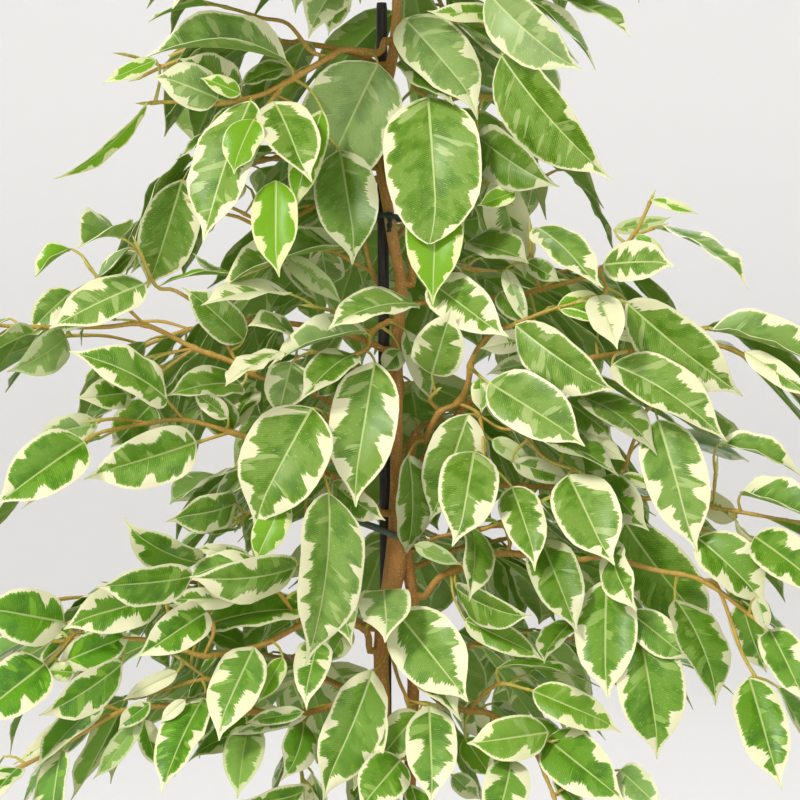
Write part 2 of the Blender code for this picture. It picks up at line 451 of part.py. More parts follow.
def skin(points, radii, sides=6, grow=0.0):
    """Corners and faces of a plain tube in metres, for finding what is near."""
    corners = []
    for index, here in enumerate(points):
        ahead = points[min(index + 1, len(points) - 1)]
        behind = points[max(index - 1, 0)]
        way = (ahead - behind).normalized()
        side = way.cross(Vector((0.0123, 0.1, 1))).normalized()
        up = side.cross(way)
        reach = (radii[index] + grow) * MM
        for step in range(sides):
            angle = 2 * math.pi * step / sides
            corners.append(here + (side * math.cos(angle) + up * math.sin(angle)) * reach)
    faces = []
    for ring in range(len(points) - 1):
        for step in range(sides):
            low = ring * sides + step
            nxt = ring * sides + (step + 1) % sides
            faces.append((low, nxt, nxt + sides, low + sides))
    faces.append(tuple(range(sides)))
    faces.append(tuple(range((len(points) - 1) * sides, len(points) * sides)))
    return corners, faces


class Placed:
    """Everything placed so far, with a box and a search tree for each piece."""
    def __init__(self):
        self.items = []

    def shape(self, corners, faces):
        low = [min(c[a] for c in corners) for a in range(3)]
        high = [max(c[a] for c in corners) for a in range(3)]
        return low, high, BVHTree.FromPolygons(corners, faces)

    def add(self, node, kind, corners, faces):
        self.items.append((node, kind, *self.shape(corners, faces)))

    def meets(self, corners, faces, allow=()):
        low, high, tree = self.shape(corners, faces)
        hits = []
        for node, kind, its_low, its_high, its_tree in self.items:
            if (node, kind) in allow or node in allow:
                continue
            if any(low[a] > its_high[a] or high[a] < its_low[a] for a in range(3)):
                continue
            if tree.overlap(its_tree):
                hits.append((node, kind))
                if len(hits) > 3:
                    break
        return hits


placed = Placed()
STEMS = {"main": STEM_MAIN, "second": STEM_SECOND}
stem_trees = {}
for label, line in (("main", STEM_MAIN), ("second", STEM_SECOND)):
    spots = [seen_at(*row[:3]) for row in line]
    stem = tube("stem_" + label, spots, [row[3] for row in line], BARK)
    stem_trees[label] = BVHTree.FromPolygons([v.co.copy() for v in stem.data.vertices],
                                             [tuple(p.vertices) for p in stem.data.polygons])
    placed.add("stem_" + label, "wood", *skin(spots, [row[3] for row in line], 8, 0.35))
cane_spots = [seen_at(*row) for row in CANE]
cane = tube("cane", cane_spots, [CANE_RADIUS] * 4, DARK_CANE)
placed.add("cane", "wood", *skin(cane_spots, [CANE_RADIUS] * 4, 8, 0.35))

# The soil fills the pot with a little gap, and the stems and cane stand in plain holes in it.
soil_low = POT_FLOOR + SEAT_GAP
soil = turned("soil", [
    (0, SOIL_TOP + 2.0), (24, SOIL_TOP + 1.6), (52, SOIL_TOP + 0.2),
    (pot_inside(SOIL_TOP - 3) - SEAT_GAP - 0.3, SOIL_TOP - 3),
    (pot_inside(RIM_LOW - 2) - SEAT_GAP - 0.3, RIM_LOW - 2),
    (pot_inside(soil_low) - SEAT_GAP - 0.3, soil_low), (0, soil_low)], SOIL)
for label, line, radius in (("main", STEM_MAIN, STEM_MAIN[0][3]),
                            ("second", STEM_SECOND, STEM_SECOND[0][3]),
                            ("cane", CANE, CANE_RADIUS)):
    foot = seen_at(*line[0][:3])
    neck = seen_at(*line[1][:3])
    way = (neck - foot).normalized()
    hole = tube("hole_" + label, [foot - way * 0.35 * MM, foot + way * 30 * MM],
                [radius + SEAT_GAP] * 2, None, 4, collection=cutters)
    cut(soil, hide(hole), "hole_" + label)


def hull_loop(circles, spare, levels, per_circle=4):
    """A loop round upright rods: circles are (x, y, radius) in mm, levels gives z at a point."""
    middle = (sum(c[0] for c in circles) / len(circles), sum(c[1] for c in circles) / len(circles))
    loop = []
    for step in range(per_circle * 4):
        angle = 2 * math.pi * step / (per_circle * 4)
        way = (math.cos(angle), math.sin(angle))
        best = max(circles, key=lambda c: c[0] * way[0] + c[1] * way[1] + c[2])
        reach = best[2] + spare
        spot = (best[0] + way[0] * reach, best[1] + way[1] * reach)
        loop.append(Vector((spot[0], spot[1], levels(spot[0] - middle[0]))) * MM)
    clean = [loop[0]]
    for spot in loop[1:]:
        if (spot - clean[-1]).length > 0.6 * MM:
            clean.append(spot)
    return clean


def rod_at(line, down, radius=None):
    row = along_line(line, down)
    where = seen_at(*row[:3]) / MM
    return (where.x, where.y, radius if radius else row[3])


def union(node, pieces, shade, solver="EXACT"):
    """Join the pieces of one node into one closed body."""
    first = pieces[0]
    if len(pieces) > 1:
        group = bpy.data.collections.new(node + "_pieces")
        bpy.context.scene.collection.children.link(group)
        for piece in pieces[1:]:
            for holder in list(piece.users_collection):
                holder.objects.unlink(piece)
            group.objects.link(piece)
        join = first.modifiers.new("join", "BOOLEAN")
        join.operation = "UNION"
        join.solver = solver
        join.operand_type = "COLLECTION"
        join.collection = group
        bpy.context.view_layer.update()
        graph = bpy.context.evaluated_depsgraph_get()
        mesh = bpy.data.meshes.new_from_object(first.evaluated_get(graph))
        bpy.data.objects.remove(first, do_unlink=True)
        for piece in list(group.objects):
            bpy.data.objects.remove(piece, do_unlink=True)
        bpy.data.collections.remove(group)
        return link(node, mesh, shade)
    first.name = node
    return first


# Two ties hold the stems to the cane: a snug one with a twisted end, and a loose slanting one.
TIE_UPPER_RADIUS = 1.0
TIE_LOWER_RADIUS = 1.3
UPPER_DOWN, LOWER_DOWN = 217, 531      # picture heights of the ties
upper_level = seen_at(390, UPPER_DOWN, 0).z / MM
lower_level = seen_at(390, LOWER_DOWN, 0).z / MM
upper_loop = hull_loop([rod_at(CANE, UPPER_DOWN, CANE_RADIUS), rod_at(STEM_MAIN, UPPER_DOWN),
                        (6.5, -2.5, 1.2), (-11.0, -3.0, 0.6)],
                       TIE_UPPER_RADIUS + SEAT_GAP + 0.1, lambda x: upper_level - 0.10 * x)
lower_loop = hull_loop([rod_at(CANE, LOWER_DOWN, CANE_RADIUS), rod_at(STEM_MAIN, LOWER_DOWN),
                        rod_at(STEM_SECOND, LOWER_DOWN), (-15.5, -4.0, 1.5)],
                       TIE_LOWER_RADIUS + SEAT_GAP + 0.1, lambda x: lower_level - 0.35 * x)
knot = min(upper_loop, key=lambda p: p.y + abs(p.x - 0.2 * MM) * 0.5)
twist_end = [knot + Vector((0, -0.2, 1.6)) * MM, knot + Vector((0.3, -0.6, -3)) * MM,
             knot + Vector((-0.2, -1.0, -8.5)) * MM]
for name, loop, radius in (("tie_upper", upper_loop, TIE_UPPER_RADIUS),
                           ("tie_lower", lower_loop, TIE_LOWER_RADIUS)):
    placed.add(name, "wood", *skin(loop + loop[:1], [radius + 0.4] * (len(loop) + 1), 6, 0.4))


def seat_on(label, down, towards_point, radius):
    """Where a branch starts on a stem, and the level direction in which it leaves it."""
    row = along_line(STEMS[label], down)
    middle = seen_at(*row[:3])
    way = towards_point - middle
    way.z = 0
    way.normalize()
    side = way.cross(Vector((0, 0, 1)))
    reach = -1.0
    for step in range(9):
        angle = 2 * math.pi * step / 8
        offset = (side * math.cos(angle) + Vector((0, 0, 1)) * math.sin(angle)) * radius * 1.02 * MM
        if step == 8:
            offset = Vector((0, 0, 0))
        hit = stem_trees[label].ray_cast(middle + offset + way * 0.03, -way)[0]
        if hit is not None:
            reach = max(reach, (hit - middle).dot(way))
    return middle + way * (reach + SEAT_GAP * MM), way


class Branch:
    def __init__(self, name, label, down, thick, thin, line, twigs):
        start, way = seat_on(label, down, line[0], thick)
        self.name = name
        self.stem = "stem_" + label
        main = [start, start + way * 3.5 * MM] + line
        self.lines = [(main, self.taper(main, thick, thin))]
        for twig in twigs:
            self.add_twig(twig)
        self.leaves = []

    def taper(self, line, thick, thin):
        lengths = [0.0]
        for first, second in zip(line, line[1:]):
            lengths.append(lengths[-1] + (second - first).length)
        return [thick + (thin - thick) * run / lengths[-1] for run in lengths]

    def nearest(self, spot):
        best = (1.0, None, 0.9)
        for line, radii in self.lines:
            for index in range(len(line) - 1):
                if line is self.lines[0][0] and index < 1:
                    continue
                first, second = line[index], line[index + 1]
                run = second - first
                part = min(1.0, max(0.0, (spot - first).dot(run) / run.length_squared))
                on = first + run * part
                far = (spot - on).length
                if far < best[0]:
                    best = (far, on, radii[index])
        return best

    def add_twig(self, points, thick=None, thin=0.9):
        on = self.nearest(points[0])
        line = [on[1]] + points[1:]
        thick = thick or max(0.9, min(1.3, on[2] * 0.85))
        radii = self.taper(line, thick, thin)
        radii[0] = min(radii[0], on[2] * 0.55)
        self.lines.append((line, radii))


branches = []


def try_branch(name, label, down, thick, thin, line, twigs):
    """Grows the branch's wood if it is clear of everything that is placed, and keeps it."""
    branch = Branch(name, label, down, thick, thin, line, twigs)
    skins = [skin(points, radii, 6, 0.6) for points, radii in branch.lines]
    for number, (corners, faces) in enumerate(skins):
        if placed.meets(corners, faces, allow=(branch.stem,) if number == 0 else ()):
            return None
    # The first line may touch only its own stem, and only where it is seated.
    corners, faces = skin(branch.lines[0][0][1:], branch.lines[0][1][1:], 6, 0.2)
    if any(hit[0] == branch.stem for hit in placed.meets(corners, faces)):
        return None
    for corners, faces in skins:
        placed.add(name, "wood", corners, faces)
    branches.append(branch)
    return branch


for name, (label, down, thick, thin, line, twigs) in BRANCHES.items():
    try_branch(name, label, down, thick, thin, [seen_at(*row) for row in line],
               [[seen_at(*row) for row in twig] for twig in twigs])


class Leaf:
    """One blade with its petiole. Widths and lengths in metres, angles in radians."""
    def __init__(self, base, tip, half, facing, turn, fold, arch, tone, hero):
        self.base, self.tip, self.half = base, tip, half
        self.fold, self.arch, self.tone, self.hero = fold, arch, tone, hero
        self.built = True
        run = tip - base
        self.length = run.length
        self.way = run.normalized()
        flat = facing - self.way * facing.dot(self.way)
        if flat.length < 1e-4:
            flat = Vector((0, 0, 1)).cross(self.way).cross(self.way)
        flat.normalize()
        side = self.way.cross(flat)
        self.up = flat * math.cos(turn) + side * math.sin(turn)
        self.side = self.way.cross(self.up)
        self.root = None

    def mid(self, part):
        return self.base + self.way * self.length * part + self.up * self.arch * 4 * part * (1 - part)

    def edge(self, part, hand, extra=0.0):
        reach = self.half * blade_width(part) + extra
        return self.mid(part) + self.side * hand * reach * math.cos(self.fold) \
            + self.up * reach * math.sin(self.fold)

    def solid(self, stations, grow=0.0):
        """Corners and triangles of the closed blade and petiole, split alike on both faces."""
        thick = (LEAF_THICK / 2 + grow) * MM
        corners = []
        faces = []
        stalk = (self.base - self.root).normalized()
        bend = (stalk + self.way).normalized()
        lift = (self.up - bend * self.up.dot(bend)).normalized()
        across = bend.cross(lift)
        squeeze = 1 / max(0.6, bend.dot(stalk))
        for centre, size in ((self.root, ROOT_RADIUS), (self.base, PETIOLE_RADIUS)):
            size = (size * squeeze + grow) * MM
            corners += [centre + lift * size, centre - lift * size * 0.6 + across * size * 0.85,
                        centre - lift * size * 0.6 - across * size * 0.85]
        faces += [(0, 2, 1), (0, 1, 4, 3), (1, 2, 5, 4), (2, 0, 3, 5)]
        # The petiole's ring is left, right as seen along it; blades have top, right, under, left.
        for part in stations:
            middle = self.mid(part)
            level = thick * (1.0 if part < 0.6 else 0.8)
            corners += [middle + self.up * level, self.edge(part, 1, grow * MM),
                        middle - self.up * level, self.edge(part, -1, grow * MM)]
        ring = 6
        faces += [(3, 4, ring + 1), (3, ring + 1, ring), (3, ring, ring + 3), (3, ring + 3, 5),
                  (4, ring + 2, ring + 1), (4, 5, ring + 2), (5, ring + 3, ring + 2)]
        for step in range(len(stations) - 1):
            low, nxt = ring + step * 4, ring + step * 4 + 4
            for a, b in ((0, 1), (1, 2), (2, 3), (3, 0)):
                if a in (0, 2):
                    faces += [(low + a, low + b, nxt + b), (low + a, nxt + b, nxt + a)]
                else:
                    faces += [(low + a, low + b, nxt + a), (low + b, nxt + b, nxt + a)]
        last = ring + (len(stations) - 1) * 4
        end = len(corners)
        corners.append(self.tip + self.way * grow * MM)
        faces += [(last, last + 1, end), (last + 1, last + 2, end), (last + 2, last + 3, end),
                  (last + 3, last, end)]
        return corners, faces


def blade_width(part):
    """Half width of a fig leaf along its midrib, 1 at the widest, with a drawn-out tip."""
    if part <= 0 or part >= 1:
        return 0.0
    body = math.sin(math.pi * min(part / 0.9, 1.0) ** 0.86) ** 0.62 if part < 0.9 else 0.0
    return max(body, 0.30 * (1 - part) / 0.2 if part > 0.8 else 0.0)


HERO_STATIONS = (0.16, 0.47, 0.78)
FILL_STATIONS = (0.27, 0.70)


def stations_of(leaf):
    return HERO_STATIONS if leaf.hero and leaf.half > 14.5 * MM else FILL_STATIONS


def photo_leaf(row, nudge, lean_part, rng):
    """A leaf read from the photo, at a depth nudge in mm and with part of its lean."""
    x0, y0, x1, y1, width, depth, tone, pose = row
    depth += nudge
    scale = PX_MM * (CAMERA_DISTANCE - depth) / CAMERA_DISTANCE
    seen_long = math.hypot(x1 - x0, y1 - y0) * scale
    small = tone in "lyb" or width < 26
    full = max(seen_long * 1.04, 0.0 if small else 66.0)
    lean = min(math.sqrt(full * full - seen_long * seen_long), 34.0) * lean_part
    if "-" in pose:
        lean = -lean
    base = seen_at(x0, y0, depth)
    tip = seen_at(x1, y1, depth + lean)
    half = width * scale / 2
    usual = 0.235 * (tip - base).length / MM
    turn = 0.0
    fold = math.radians(rng.uniform(6, 20))
    if "e" in pose:
        turn = math.radians(74) * rng.choice((-1, 1))
        half = max(min(usual, 2.2 * half), half)
    elif "R" in pose or "L" in pose:
        fold = math.radians(44)
        turn = fold * (0.92 if "R" in pose else -0.92)
        half = width * scale
    else:
        if half < usual * 0.9 and not small:
            turn = math.acos(max(0.30, half / usual))
            half = usual
        if "r" in pose or "l" in pose:
            turn = max(turn, 0.3)
        turn *= (1 if "r" in pose else -1 if "l" in pose else rng.choice((-1, 1)))
    arch = rng.uniform(0.03, 0.10) * (tip - base).length
    leaf = Leaf(base, tip, half * MM, Vector((0.0, -1.0, 0.12)), turn, fold, arch, tone, True)
    leaf.built = seen_long * width * scale > SMALL_LEAF
    return leaf


def leaf_hits(leaf, allow):
    corners, faces = leaf.solid(stations_of(leaf), 0.35)
    return placed.meets(corners, faces, allow)


def keep(leaf, branch):
    """Adds the leaf to its branch, and its place to what is taken."""
    branch.leaves.append(leaf)
    placed.add(branch.name, "leaf", *leaf.solid(stations_of(leaf), 0.35))


def settle(leaf, branch, may_touch=False):
    """Roots the leaf on its branch and keeps it if it is clear of everything else."""
    far, on, radius = branch.nearest(leaf.base)
    if far < 2.5 * MM or far > LONGEST_PETIOLE * MM:
        return False
    leaf.root = on
    if (leaf.base - on).normalized().dot(leaf.way) < FOLDED_BACK:
        return False
    if leaf_hits(leaf, ((branch.name, "wood"), branch.name) if may_touch else ((branch.name, "wood"),)):
        return False
    keep(leaf, branch)
    return True


def reach_out(branch, spot):
    """A new twig from the branch towards a leaf that would have too long a petiole."""
    far, on, radius = branch.nearest(spot)
    run = spot - on
    end = on + run * max(0.0, 1 - 15 * MM / run.length)
    bend = on + (end - on) * 0.5 + Vector((0, 0, 1)) * 0.08 * run.length
    points, radii = [on, bend, end], [radius * 0.55, 1.0, 0.9]
    corners, faces = skin(points, radii, 6, 0.6)
    if placed.meets(corners, faces, ((branch.name, "wood"),)):
        return False
    branch.lines.append((points, radii))
    placed.add(branch.name, "wood", corners, faces)
    return True


def settle_on_new_twig(leaf, branch):
    """Grows a twig towards a leaf that hangs far from the branch; takes it back if the leaf won't fit."""
    lines, items = len(branch.lines), len(placed.items)
    if branch.nearest(leaf.base)[0] <= 20 * MM or not reach_out(branch, leaf.base):
        return False
    if settle(leaf, branch, True):
        return True
    del branch.lines[lines:]
    del placed.items[items:]
    return False


def near_branches(spot, count):
    return sorted(branches, key=lambda branch: branch.nearest(spot)[0])[:count]


NUDGES = (0, 5, -5, 10, -10, 16, -16, 24, -24, 33, -33)     # mm nearer or farther, in order of trial
LEANS = (1.0, 0.4, -0.5)    # share of the full lean towards the camera, in order of trial


def place(number, row):
    """Sets a photo leaf where it is free: leaves of one branch may touch only if nothing else is."""
    for may_touch in (False, True):
        for nudge in NUDGES:
            for lean_part in LEANS:
                leaf = photo_leaf(row, nudge, lean_part, random.Random(number))
                if any(settle(leaf, branch, may_touch) for branch in near_branches(leaf.base, 3)):
                    return
    for nudge in NUDGES:
        leaf = photo_leaf(row, nudge, 0.8, random.Random(number))
        if any(settle_on_new_twig(leaf, branch) for branch in near_branches(leaf.base, 4)):
            return


for number, row in enumerate(PHOTO_LEAVES):
    place(number, row)


def over_wall(spots):
    """True where a point seen inside the photo would cover a place where the wall shows."""
    for spot in spots:
        across, down, towards = in_photo(spot)
        if not (-4 < across < 804 and -4 < down < 804):
            continue
        for middle, low, radius in OPEN_PLACES:
            if (across - middle) ** 2 + (down - low) ** 2 < radius * radius:
                return True
    return False


PHOTO_SHAPES = []
for branch in branches:
    for leaf in branch.leaves:
        ring = [leaf.base] + [leaf.edge(part, 1) for part in (0.15, 0.3, 0.5, 0.7, 0.85)] + [leaf.tip] \
            + [leaf.edge(part, -1) for part in (0.85, 0.7, 0.5, 0.3, 0.15)]
        seen = [in_photo(spot) for spot in ring]
        PHOTO_SHAPES.append((seen, min(s[0] for s in seen), max(s[0] for s in seen),
                             min(s[1] for s in seen), max(s[1] for s in seen),
                             min(s[2] for s in seen)))


def hides_leaf(spots):
    """True where a point seen inside the photo stands in front of a leaf read from it."""
    for spot in spots:
        across, down, towards = in_photo(spot)
        if not (0 < across < 800 and 0 < down < 800):
            continue
        for seen, left, right, top, low, nearest in PHOTO_SHAPES:
            if towards < nearest or not (left < across < right and top < down < low):
                continue
            inside = False
            for first, second in zip(seen, seen[1:] + seen[:1]):
                if (first[1] > down) != (second[1] > down):
                    part = (down - first[1]) / (second[1] - first[1])
                    if across < first[0] + (second[0] - first[0]) * part:
                        inside = not inside
            if inside:
                return True
    return False


# Branches that the photo doesn't show, at the back and round the top above its upper edge: the kind,
# its stem, where it leaves it (picture points down), the turn it first tries (degrees), how far it
# goes (mm) and its radius (mm).
UNSEEN = [
    ("back_a", "main", 705, 118, 165, 1.9), ("back_b", "second", 672, 48, 175, 1.9),
    ("back_c", "main", 628, 158, 185, 1.9), ("back_d", "second", 560, 80, 190, 1.9),
    ("back_e", "main", 505, 130, 195, 1.9), ("back_f", "second", 458, 30, 185, 1.9),
    ("back_g", "main", 405, 100, 190, 1.9), ("back_h", "main", 352, 170, 175, 1.9),
    ("back_i", "main", 292, 55, 175, 1.9), ("back_j", "main", 236, 128, 160, 1.9),
    ("back_k", "main", 172, 82, 150, 1.9), ("back_l", "main", 118, 22, 150, 1.9),
    ("back_m", "main", 66, 148, 145, 1.9),
    ("crown_a", "main", -8, 75, 130, 1.6), ("crown_b", "main", -52, 205, 118, 1.54),
    ("crown_c", "main", -92, 330, 112, 1.48), ("crown_d", "main", -132, 110, 100, 1.42),
    ("crown_e", "main", -170, 245, 88, 1.36), ("crown_f", "main", -205, 15, 76, 1.3),
    ("crown_g", "main", -240, 150, 62, 1.24), ("crown_h", "main", -272, 285, 48, 1.18),
    ("top_shoot", "main", -312, 60, 52, 1.12)]


def grown_line(start, angle, reach, rng, upright=False):
    """A side branch that rises as it leaves the stem and then arches over."""
    way = Vector((math.cos(angle), math.sin(angle), 0))
    side = Vector((-way.y, way.x, 0))
    if upright:
        return [start + way * reach * 0.3 * part ** 0.5 + Vector((0, 0, reach * part))
                for part in (0.1, 0.45, 1.0)], way, side
    sway = rng.uniform(-0.12, 0.12)
    rise = rng.uniform(0.26, 0.42)
    points = []
    for part in (0.12, 0.3, 0.5, 0.7, 0.87, 1.0):
        points.append(start + way * reach * part + side * reach * sway * math.sin(part * 5)
                      + Vector((0, 0, reach * (rise * part - 0.40 * part ** 2.2))))
    return points, way, side


def unseen_branch(number, kind, label, down, turn, reach, thick):
    """Tries turns and heights, each time farther from the first, until the branch is free."""
    for attempt in range(60):
        rng = random.Random(1000 * number + attempt)
        spread = 4 + attempt * 1.1
        angle = math.radians(turn + rng.uniform(-spread, spread))
        level = down + rng.uniform(-0.25, 0.25) * min(attempt, 30)
        start = seen_at(*along_line(STEMS[label], level)[:3])
        points, way, side = grown_line(start, angle, reach * MM * rng.uniform(0.92, 1.06), rng,
                                       kind == "top_shoot")
        twigs = []
        for part, hand in ((2, 1), (3, -1), (4, 1)) if kind != "top_shoot" else ():
            out = (way * rng.uniform(0.7, 1.0) + side * hand * rng.uniform(0.5, 0.9)
                   + Vector((0, 0, rng.uniform(-0.1, 0.25)))).normalized()
            long = reach * MM * rng.uniform(0.26, 0.36)
            if kind.startswith("crown") and part == 4:
                continue
            twigs.append([points[part], points[part] + out * long * 0.5,
                          points[part] + out * long + Vector((0, 0, -0.10 * long))])
        if attempt < 40 and over_wall(points[2:] + [spot for twig in twigs for spot in twig]):
            continue
        thinnest = min(thick, along_line(STEMS[label], level)[3] * 0.8)
        if try_branch("branch_" + kind, label, level, thinnest, 0.95, points, twigs):
            return


for number, row in enumerate(UNSEEN):
    unseen_branch(number, *row)


def filler_leaf(on, radius, way, hand, rng, tip_leaf=False):
    """A leaf placed by rule: its petiole stands off the twig and the blade hangs outward."""
    side = way.cross(Vector((0, 0, 1)))
    if side.length < 0.1:
        side = Vector((1, 0, 0))
    side.normalize()
    outward = Vector((on.x, on.y, 0))
    outward = outward.normalized() if outward.length > 0.02 else way.copy()
    stalk = (way * rng.uniform(0.3, 0.8) + side * hand * rng.uniform(0.5, 1.0)
             + Vector((0, 0, rng.uniform(-0.3, 0.5)))).normalized()
    base = on + stalk * rng.uniform(9, 15) * MM
    if tip_leaf:
        base = on + (way + Vector((0, 0, -0.2))).normalized() * 9 * MM
    run = (way * rng.uniform(0.1, 0.6) + side * hand * rng.uniform(0.1, 0.8)
           + outward * rng.uniform(0.0, 0.45) + Vector((0, 0, -rng.uniform(0.25, 1.25)))).normalized()
    if tip_leaf:
        run = (way + outward * 0.3 + Vector((0, 0, -rng.uniform(0.2, 0.7)))).normalized()
    long = rng.uniform(54, 72) * MM
    half = long * rng.uniform(0.205, 0.245)
    facing = (outward * rng.uniform(0.2, 0.9) + Vector((0, 0, rng.uniform(0.4, 1.0)))
              + side * hand * rng.uniform(-0.2, 0.5))
    leaf = Leaf(base, base + run * long, half, facing, rng.uniform(-0.35, 0.35),
                math.radians(rng.uniform(5, 22)), rng.uniform(-0.02, 0.09) * long, "g", False)
    leaf.root = on
    return leaf


def filler_sites():
    """Places along every twig, about one leaf pair apart, ends first."""
    sites = []
    for branch in branches:
        for number, (line, radii) in enumerate(branch.lines):
            total = sum((b - a).length for a, b in zip(line, line[1:]))
            run = total
            hand = 1
            skip = 26 * MM if number == 0 else 9 * MM
            while run > skip:
                walked = 0.0
                for index in range(len(line) - 1):
                    step = (line[index + 1] - line[index]).length
                    if walked + step >= run - 1e-9:
                        break
                    walked += step
                way = (line[index + 1] - line[index]).normalized()
                on = line[index] + way * min(run - walked, step)
                sites.append((branch, on, radii[index], way, hand, run > total - 1e-6))
                hand = -hand
                run -= 13 * MM
    return sites


def has_room(leaf, branch):
    """True for a leaf off the pot and the bare wall that hides no photo leaf and meets nothing."""
    spots = [leaf.base, leaf.tip, leaf.mid(0.5)]
    spots += [leaf.edge(part, hand) for part in (0.25, 0.5, 0.75) for hand in (1, -1)]
    if min(spot.z for spot in spots) < 0.152 or over_wall(spots) or hides_leaf(spots):
        return False
    return not leaf_hits(leaf, ((branch.name, "wood"),))


sites = filler_sites()
random.Random(7).shuffle(sites)
sites.sort(key=lambda site: not site[5])
fillers = 0
for number, (branch, on, radius, way, hand, last) in enumerate(sites):
    if fillers >= FILLER_LIMIT:
        break
    for attempt in range(3):
        rng = random.Random(50000 + number * 10 + attempt)
        leaf = filler_leaf(on, radius, way, hand, rng, last and attempt == 0)
        if has_room(leaf, branch):
            keep(leaf, branch)
            fillers += 1
            break

tie_upper = union("tie_upper", [
    tube("tie_upper_loop", upper_loop, [TIE_UPPER_RADIUS] * len(upper_loop), TIE, 1, True),
    tube("tie_upper_end", twist_end, [1.3, 1.5, 1.1], TIE, 1)], TIE)
tie_lower = tube("tie_lower", lower_loop, [TIE_LOWER_RADIUS] * len(lower_loop), TIE, 1, True)

for branch in branches:
    pieces = []
    for number, (line, radii) in enumerate(branch.lines):
        pieces.append(tube(branch.name + "_wood_%d" % number, line, radii, LEAF, 0))
    for number, leaf in enumerate(branch.leaves):
        if leaf.built:
            pieces.append(link(branch.name + "_leaf_%d" % number,
                               mesh_from(branch.name, *leaf.solid(stations_of(leaf))), LEAF))
    union(branch.name, pieces, LEAF)
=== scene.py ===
# %% [markdown]
# # A potted weeping fig
#
# A weeping fig sold as a young houseplant is two or three slim stems tied to a cane, in a plain pot.
# Its leaves are what makes it: cream edges that run into the green in teeth along the side veins, a
# pale midrib, a waxy top and a dull paler underside, and a long thin drip tip. The solid model gives
# the place, length, width and lean of the larger leaves. This lesson regrows the same plant with the
# same rules, and dresses it: each coarse leaf becomes a thin curved blade, and the many small leaves
# that the solid model leaves out are added in the free room between them.

# %% Load the solid model
import math
import random

import bmesh
import bpy
import numpy as np
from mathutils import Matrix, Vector
from mathutils.bvhtree import BVHTree


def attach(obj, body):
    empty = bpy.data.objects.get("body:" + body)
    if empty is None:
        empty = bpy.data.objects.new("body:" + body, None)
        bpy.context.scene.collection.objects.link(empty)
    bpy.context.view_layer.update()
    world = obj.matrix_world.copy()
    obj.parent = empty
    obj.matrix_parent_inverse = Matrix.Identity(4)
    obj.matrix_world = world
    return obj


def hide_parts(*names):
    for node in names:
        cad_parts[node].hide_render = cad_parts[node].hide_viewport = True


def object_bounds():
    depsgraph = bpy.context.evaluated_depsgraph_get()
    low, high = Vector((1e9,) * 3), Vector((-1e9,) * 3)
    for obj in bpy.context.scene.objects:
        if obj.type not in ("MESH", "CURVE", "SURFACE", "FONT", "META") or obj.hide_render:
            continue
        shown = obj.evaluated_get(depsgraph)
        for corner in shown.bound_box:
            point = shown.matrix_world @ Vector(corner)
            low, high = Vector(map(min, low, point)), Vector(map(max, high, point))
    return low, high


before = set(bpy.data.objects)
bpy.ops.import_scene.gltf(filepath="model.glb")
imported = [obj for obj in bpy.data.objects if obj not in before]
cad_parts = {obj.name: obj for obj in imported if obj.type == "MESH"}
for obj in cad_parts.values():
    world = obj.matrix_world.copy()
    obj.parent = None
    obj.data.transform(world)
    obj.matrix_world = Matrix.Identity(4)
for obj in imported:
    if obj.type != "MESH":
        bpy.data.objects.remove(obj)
cad_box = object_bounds()
print("solid pieces:", len(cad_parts))

# %% [markdown]
# ## Sizes
#
# The cane is a common 6 mm one, and every other size follows from it. A twig or leaf that the
# photo shows is written down as the picture point where it is seen and how many millimetres it
# stands in front of the stems. One picture point is 0.54 mm at the stems, so both become metres.

# %% Sizes and the picture's geometry
MM = 0.001
PX_MM = 0.54            # one picture point is this many millimetres at the stems
PHOTO_MIDDLE = 400.0    # the picture's centre, in picture points, across and down
CAMERA_RIGHT = 5.4      # mm to the right of the pot's axis
CAMERA_HEIGHT = 441.0   # mm above the pot's base
CAMERA_DISTANCE = 1250.0  # mm in front of the pot's axis

# The pot, the wood and the leaves, and the room that new pieces keep free, all in mm.
POT_HEIGHT = 150.0
POT_BASE_RADIUS = 64.0
POT_NECK_RADIUS = 82.0
POT_RIM_RADIUS = 90.0
POT_RIM_HEIGHT = 30.0
POT_WALL = 6.5
POT_FLOOR = 8.0
SOIL_TOP = 131.0
SEAT_GAP = 0.3          # mm left between pieces that rest on each other
CANE_RADIUS = 3.1
LEAF_THICK = 1.3        # mm at the midrib
PETIOLE_RADIUS = 0.75
ROOT_RADIUS = 0.45      # of a petiole, inside its twig
LONGEST_PETIOLE = 30.0
FOLDED_BACK = -0.35     # least cosine between a petiole and its blade
SHORTEST_PETIOLE = 2.5
BARK_STEP = 3.5         # a branch leaves the bark straight for this long
WOOD_SPARE = 0.6        # room kept round new wood
LEAF_SPARE = 0.35       # room kept round new leaves
LOWEST_LEAF = 152.0     # no leaf hangs below this height


def seen_at(across, down, towards):
    """The point in metres that the camera sees at a picture point, so many mm towards it."""
    scale = PX_MM * (CAMERA_DISTANCE - towards) / CAMERA_DISTANCE
    return Vector((CAMERA_RIGHT + (across - PHOTO_MIDDLE) * scale, -towards,
                   CAMERA_HEIGHT + (PHOTO_MIDDLE - down) * scale)) * MM


def in_photo(point):
    """A point in metres as picture point across, down and mm towards the camera."""
    towards = -point.y / MM
    scale = PX_MM * (CAMERA_DISTANCE - towards) / CAMERA_DISTANCE
    return (PHOTO_MIDDLE + (point.x / MM - CAMERA_RIGHT) / scale,
            PHOTO_MIDDLE - (point.z / MM - CAMERA_HEIGHT) / scale, towards)


print("the picture shows", round(2 * PHOTO_MIDDLE * PX_MM), "mm at the stems")

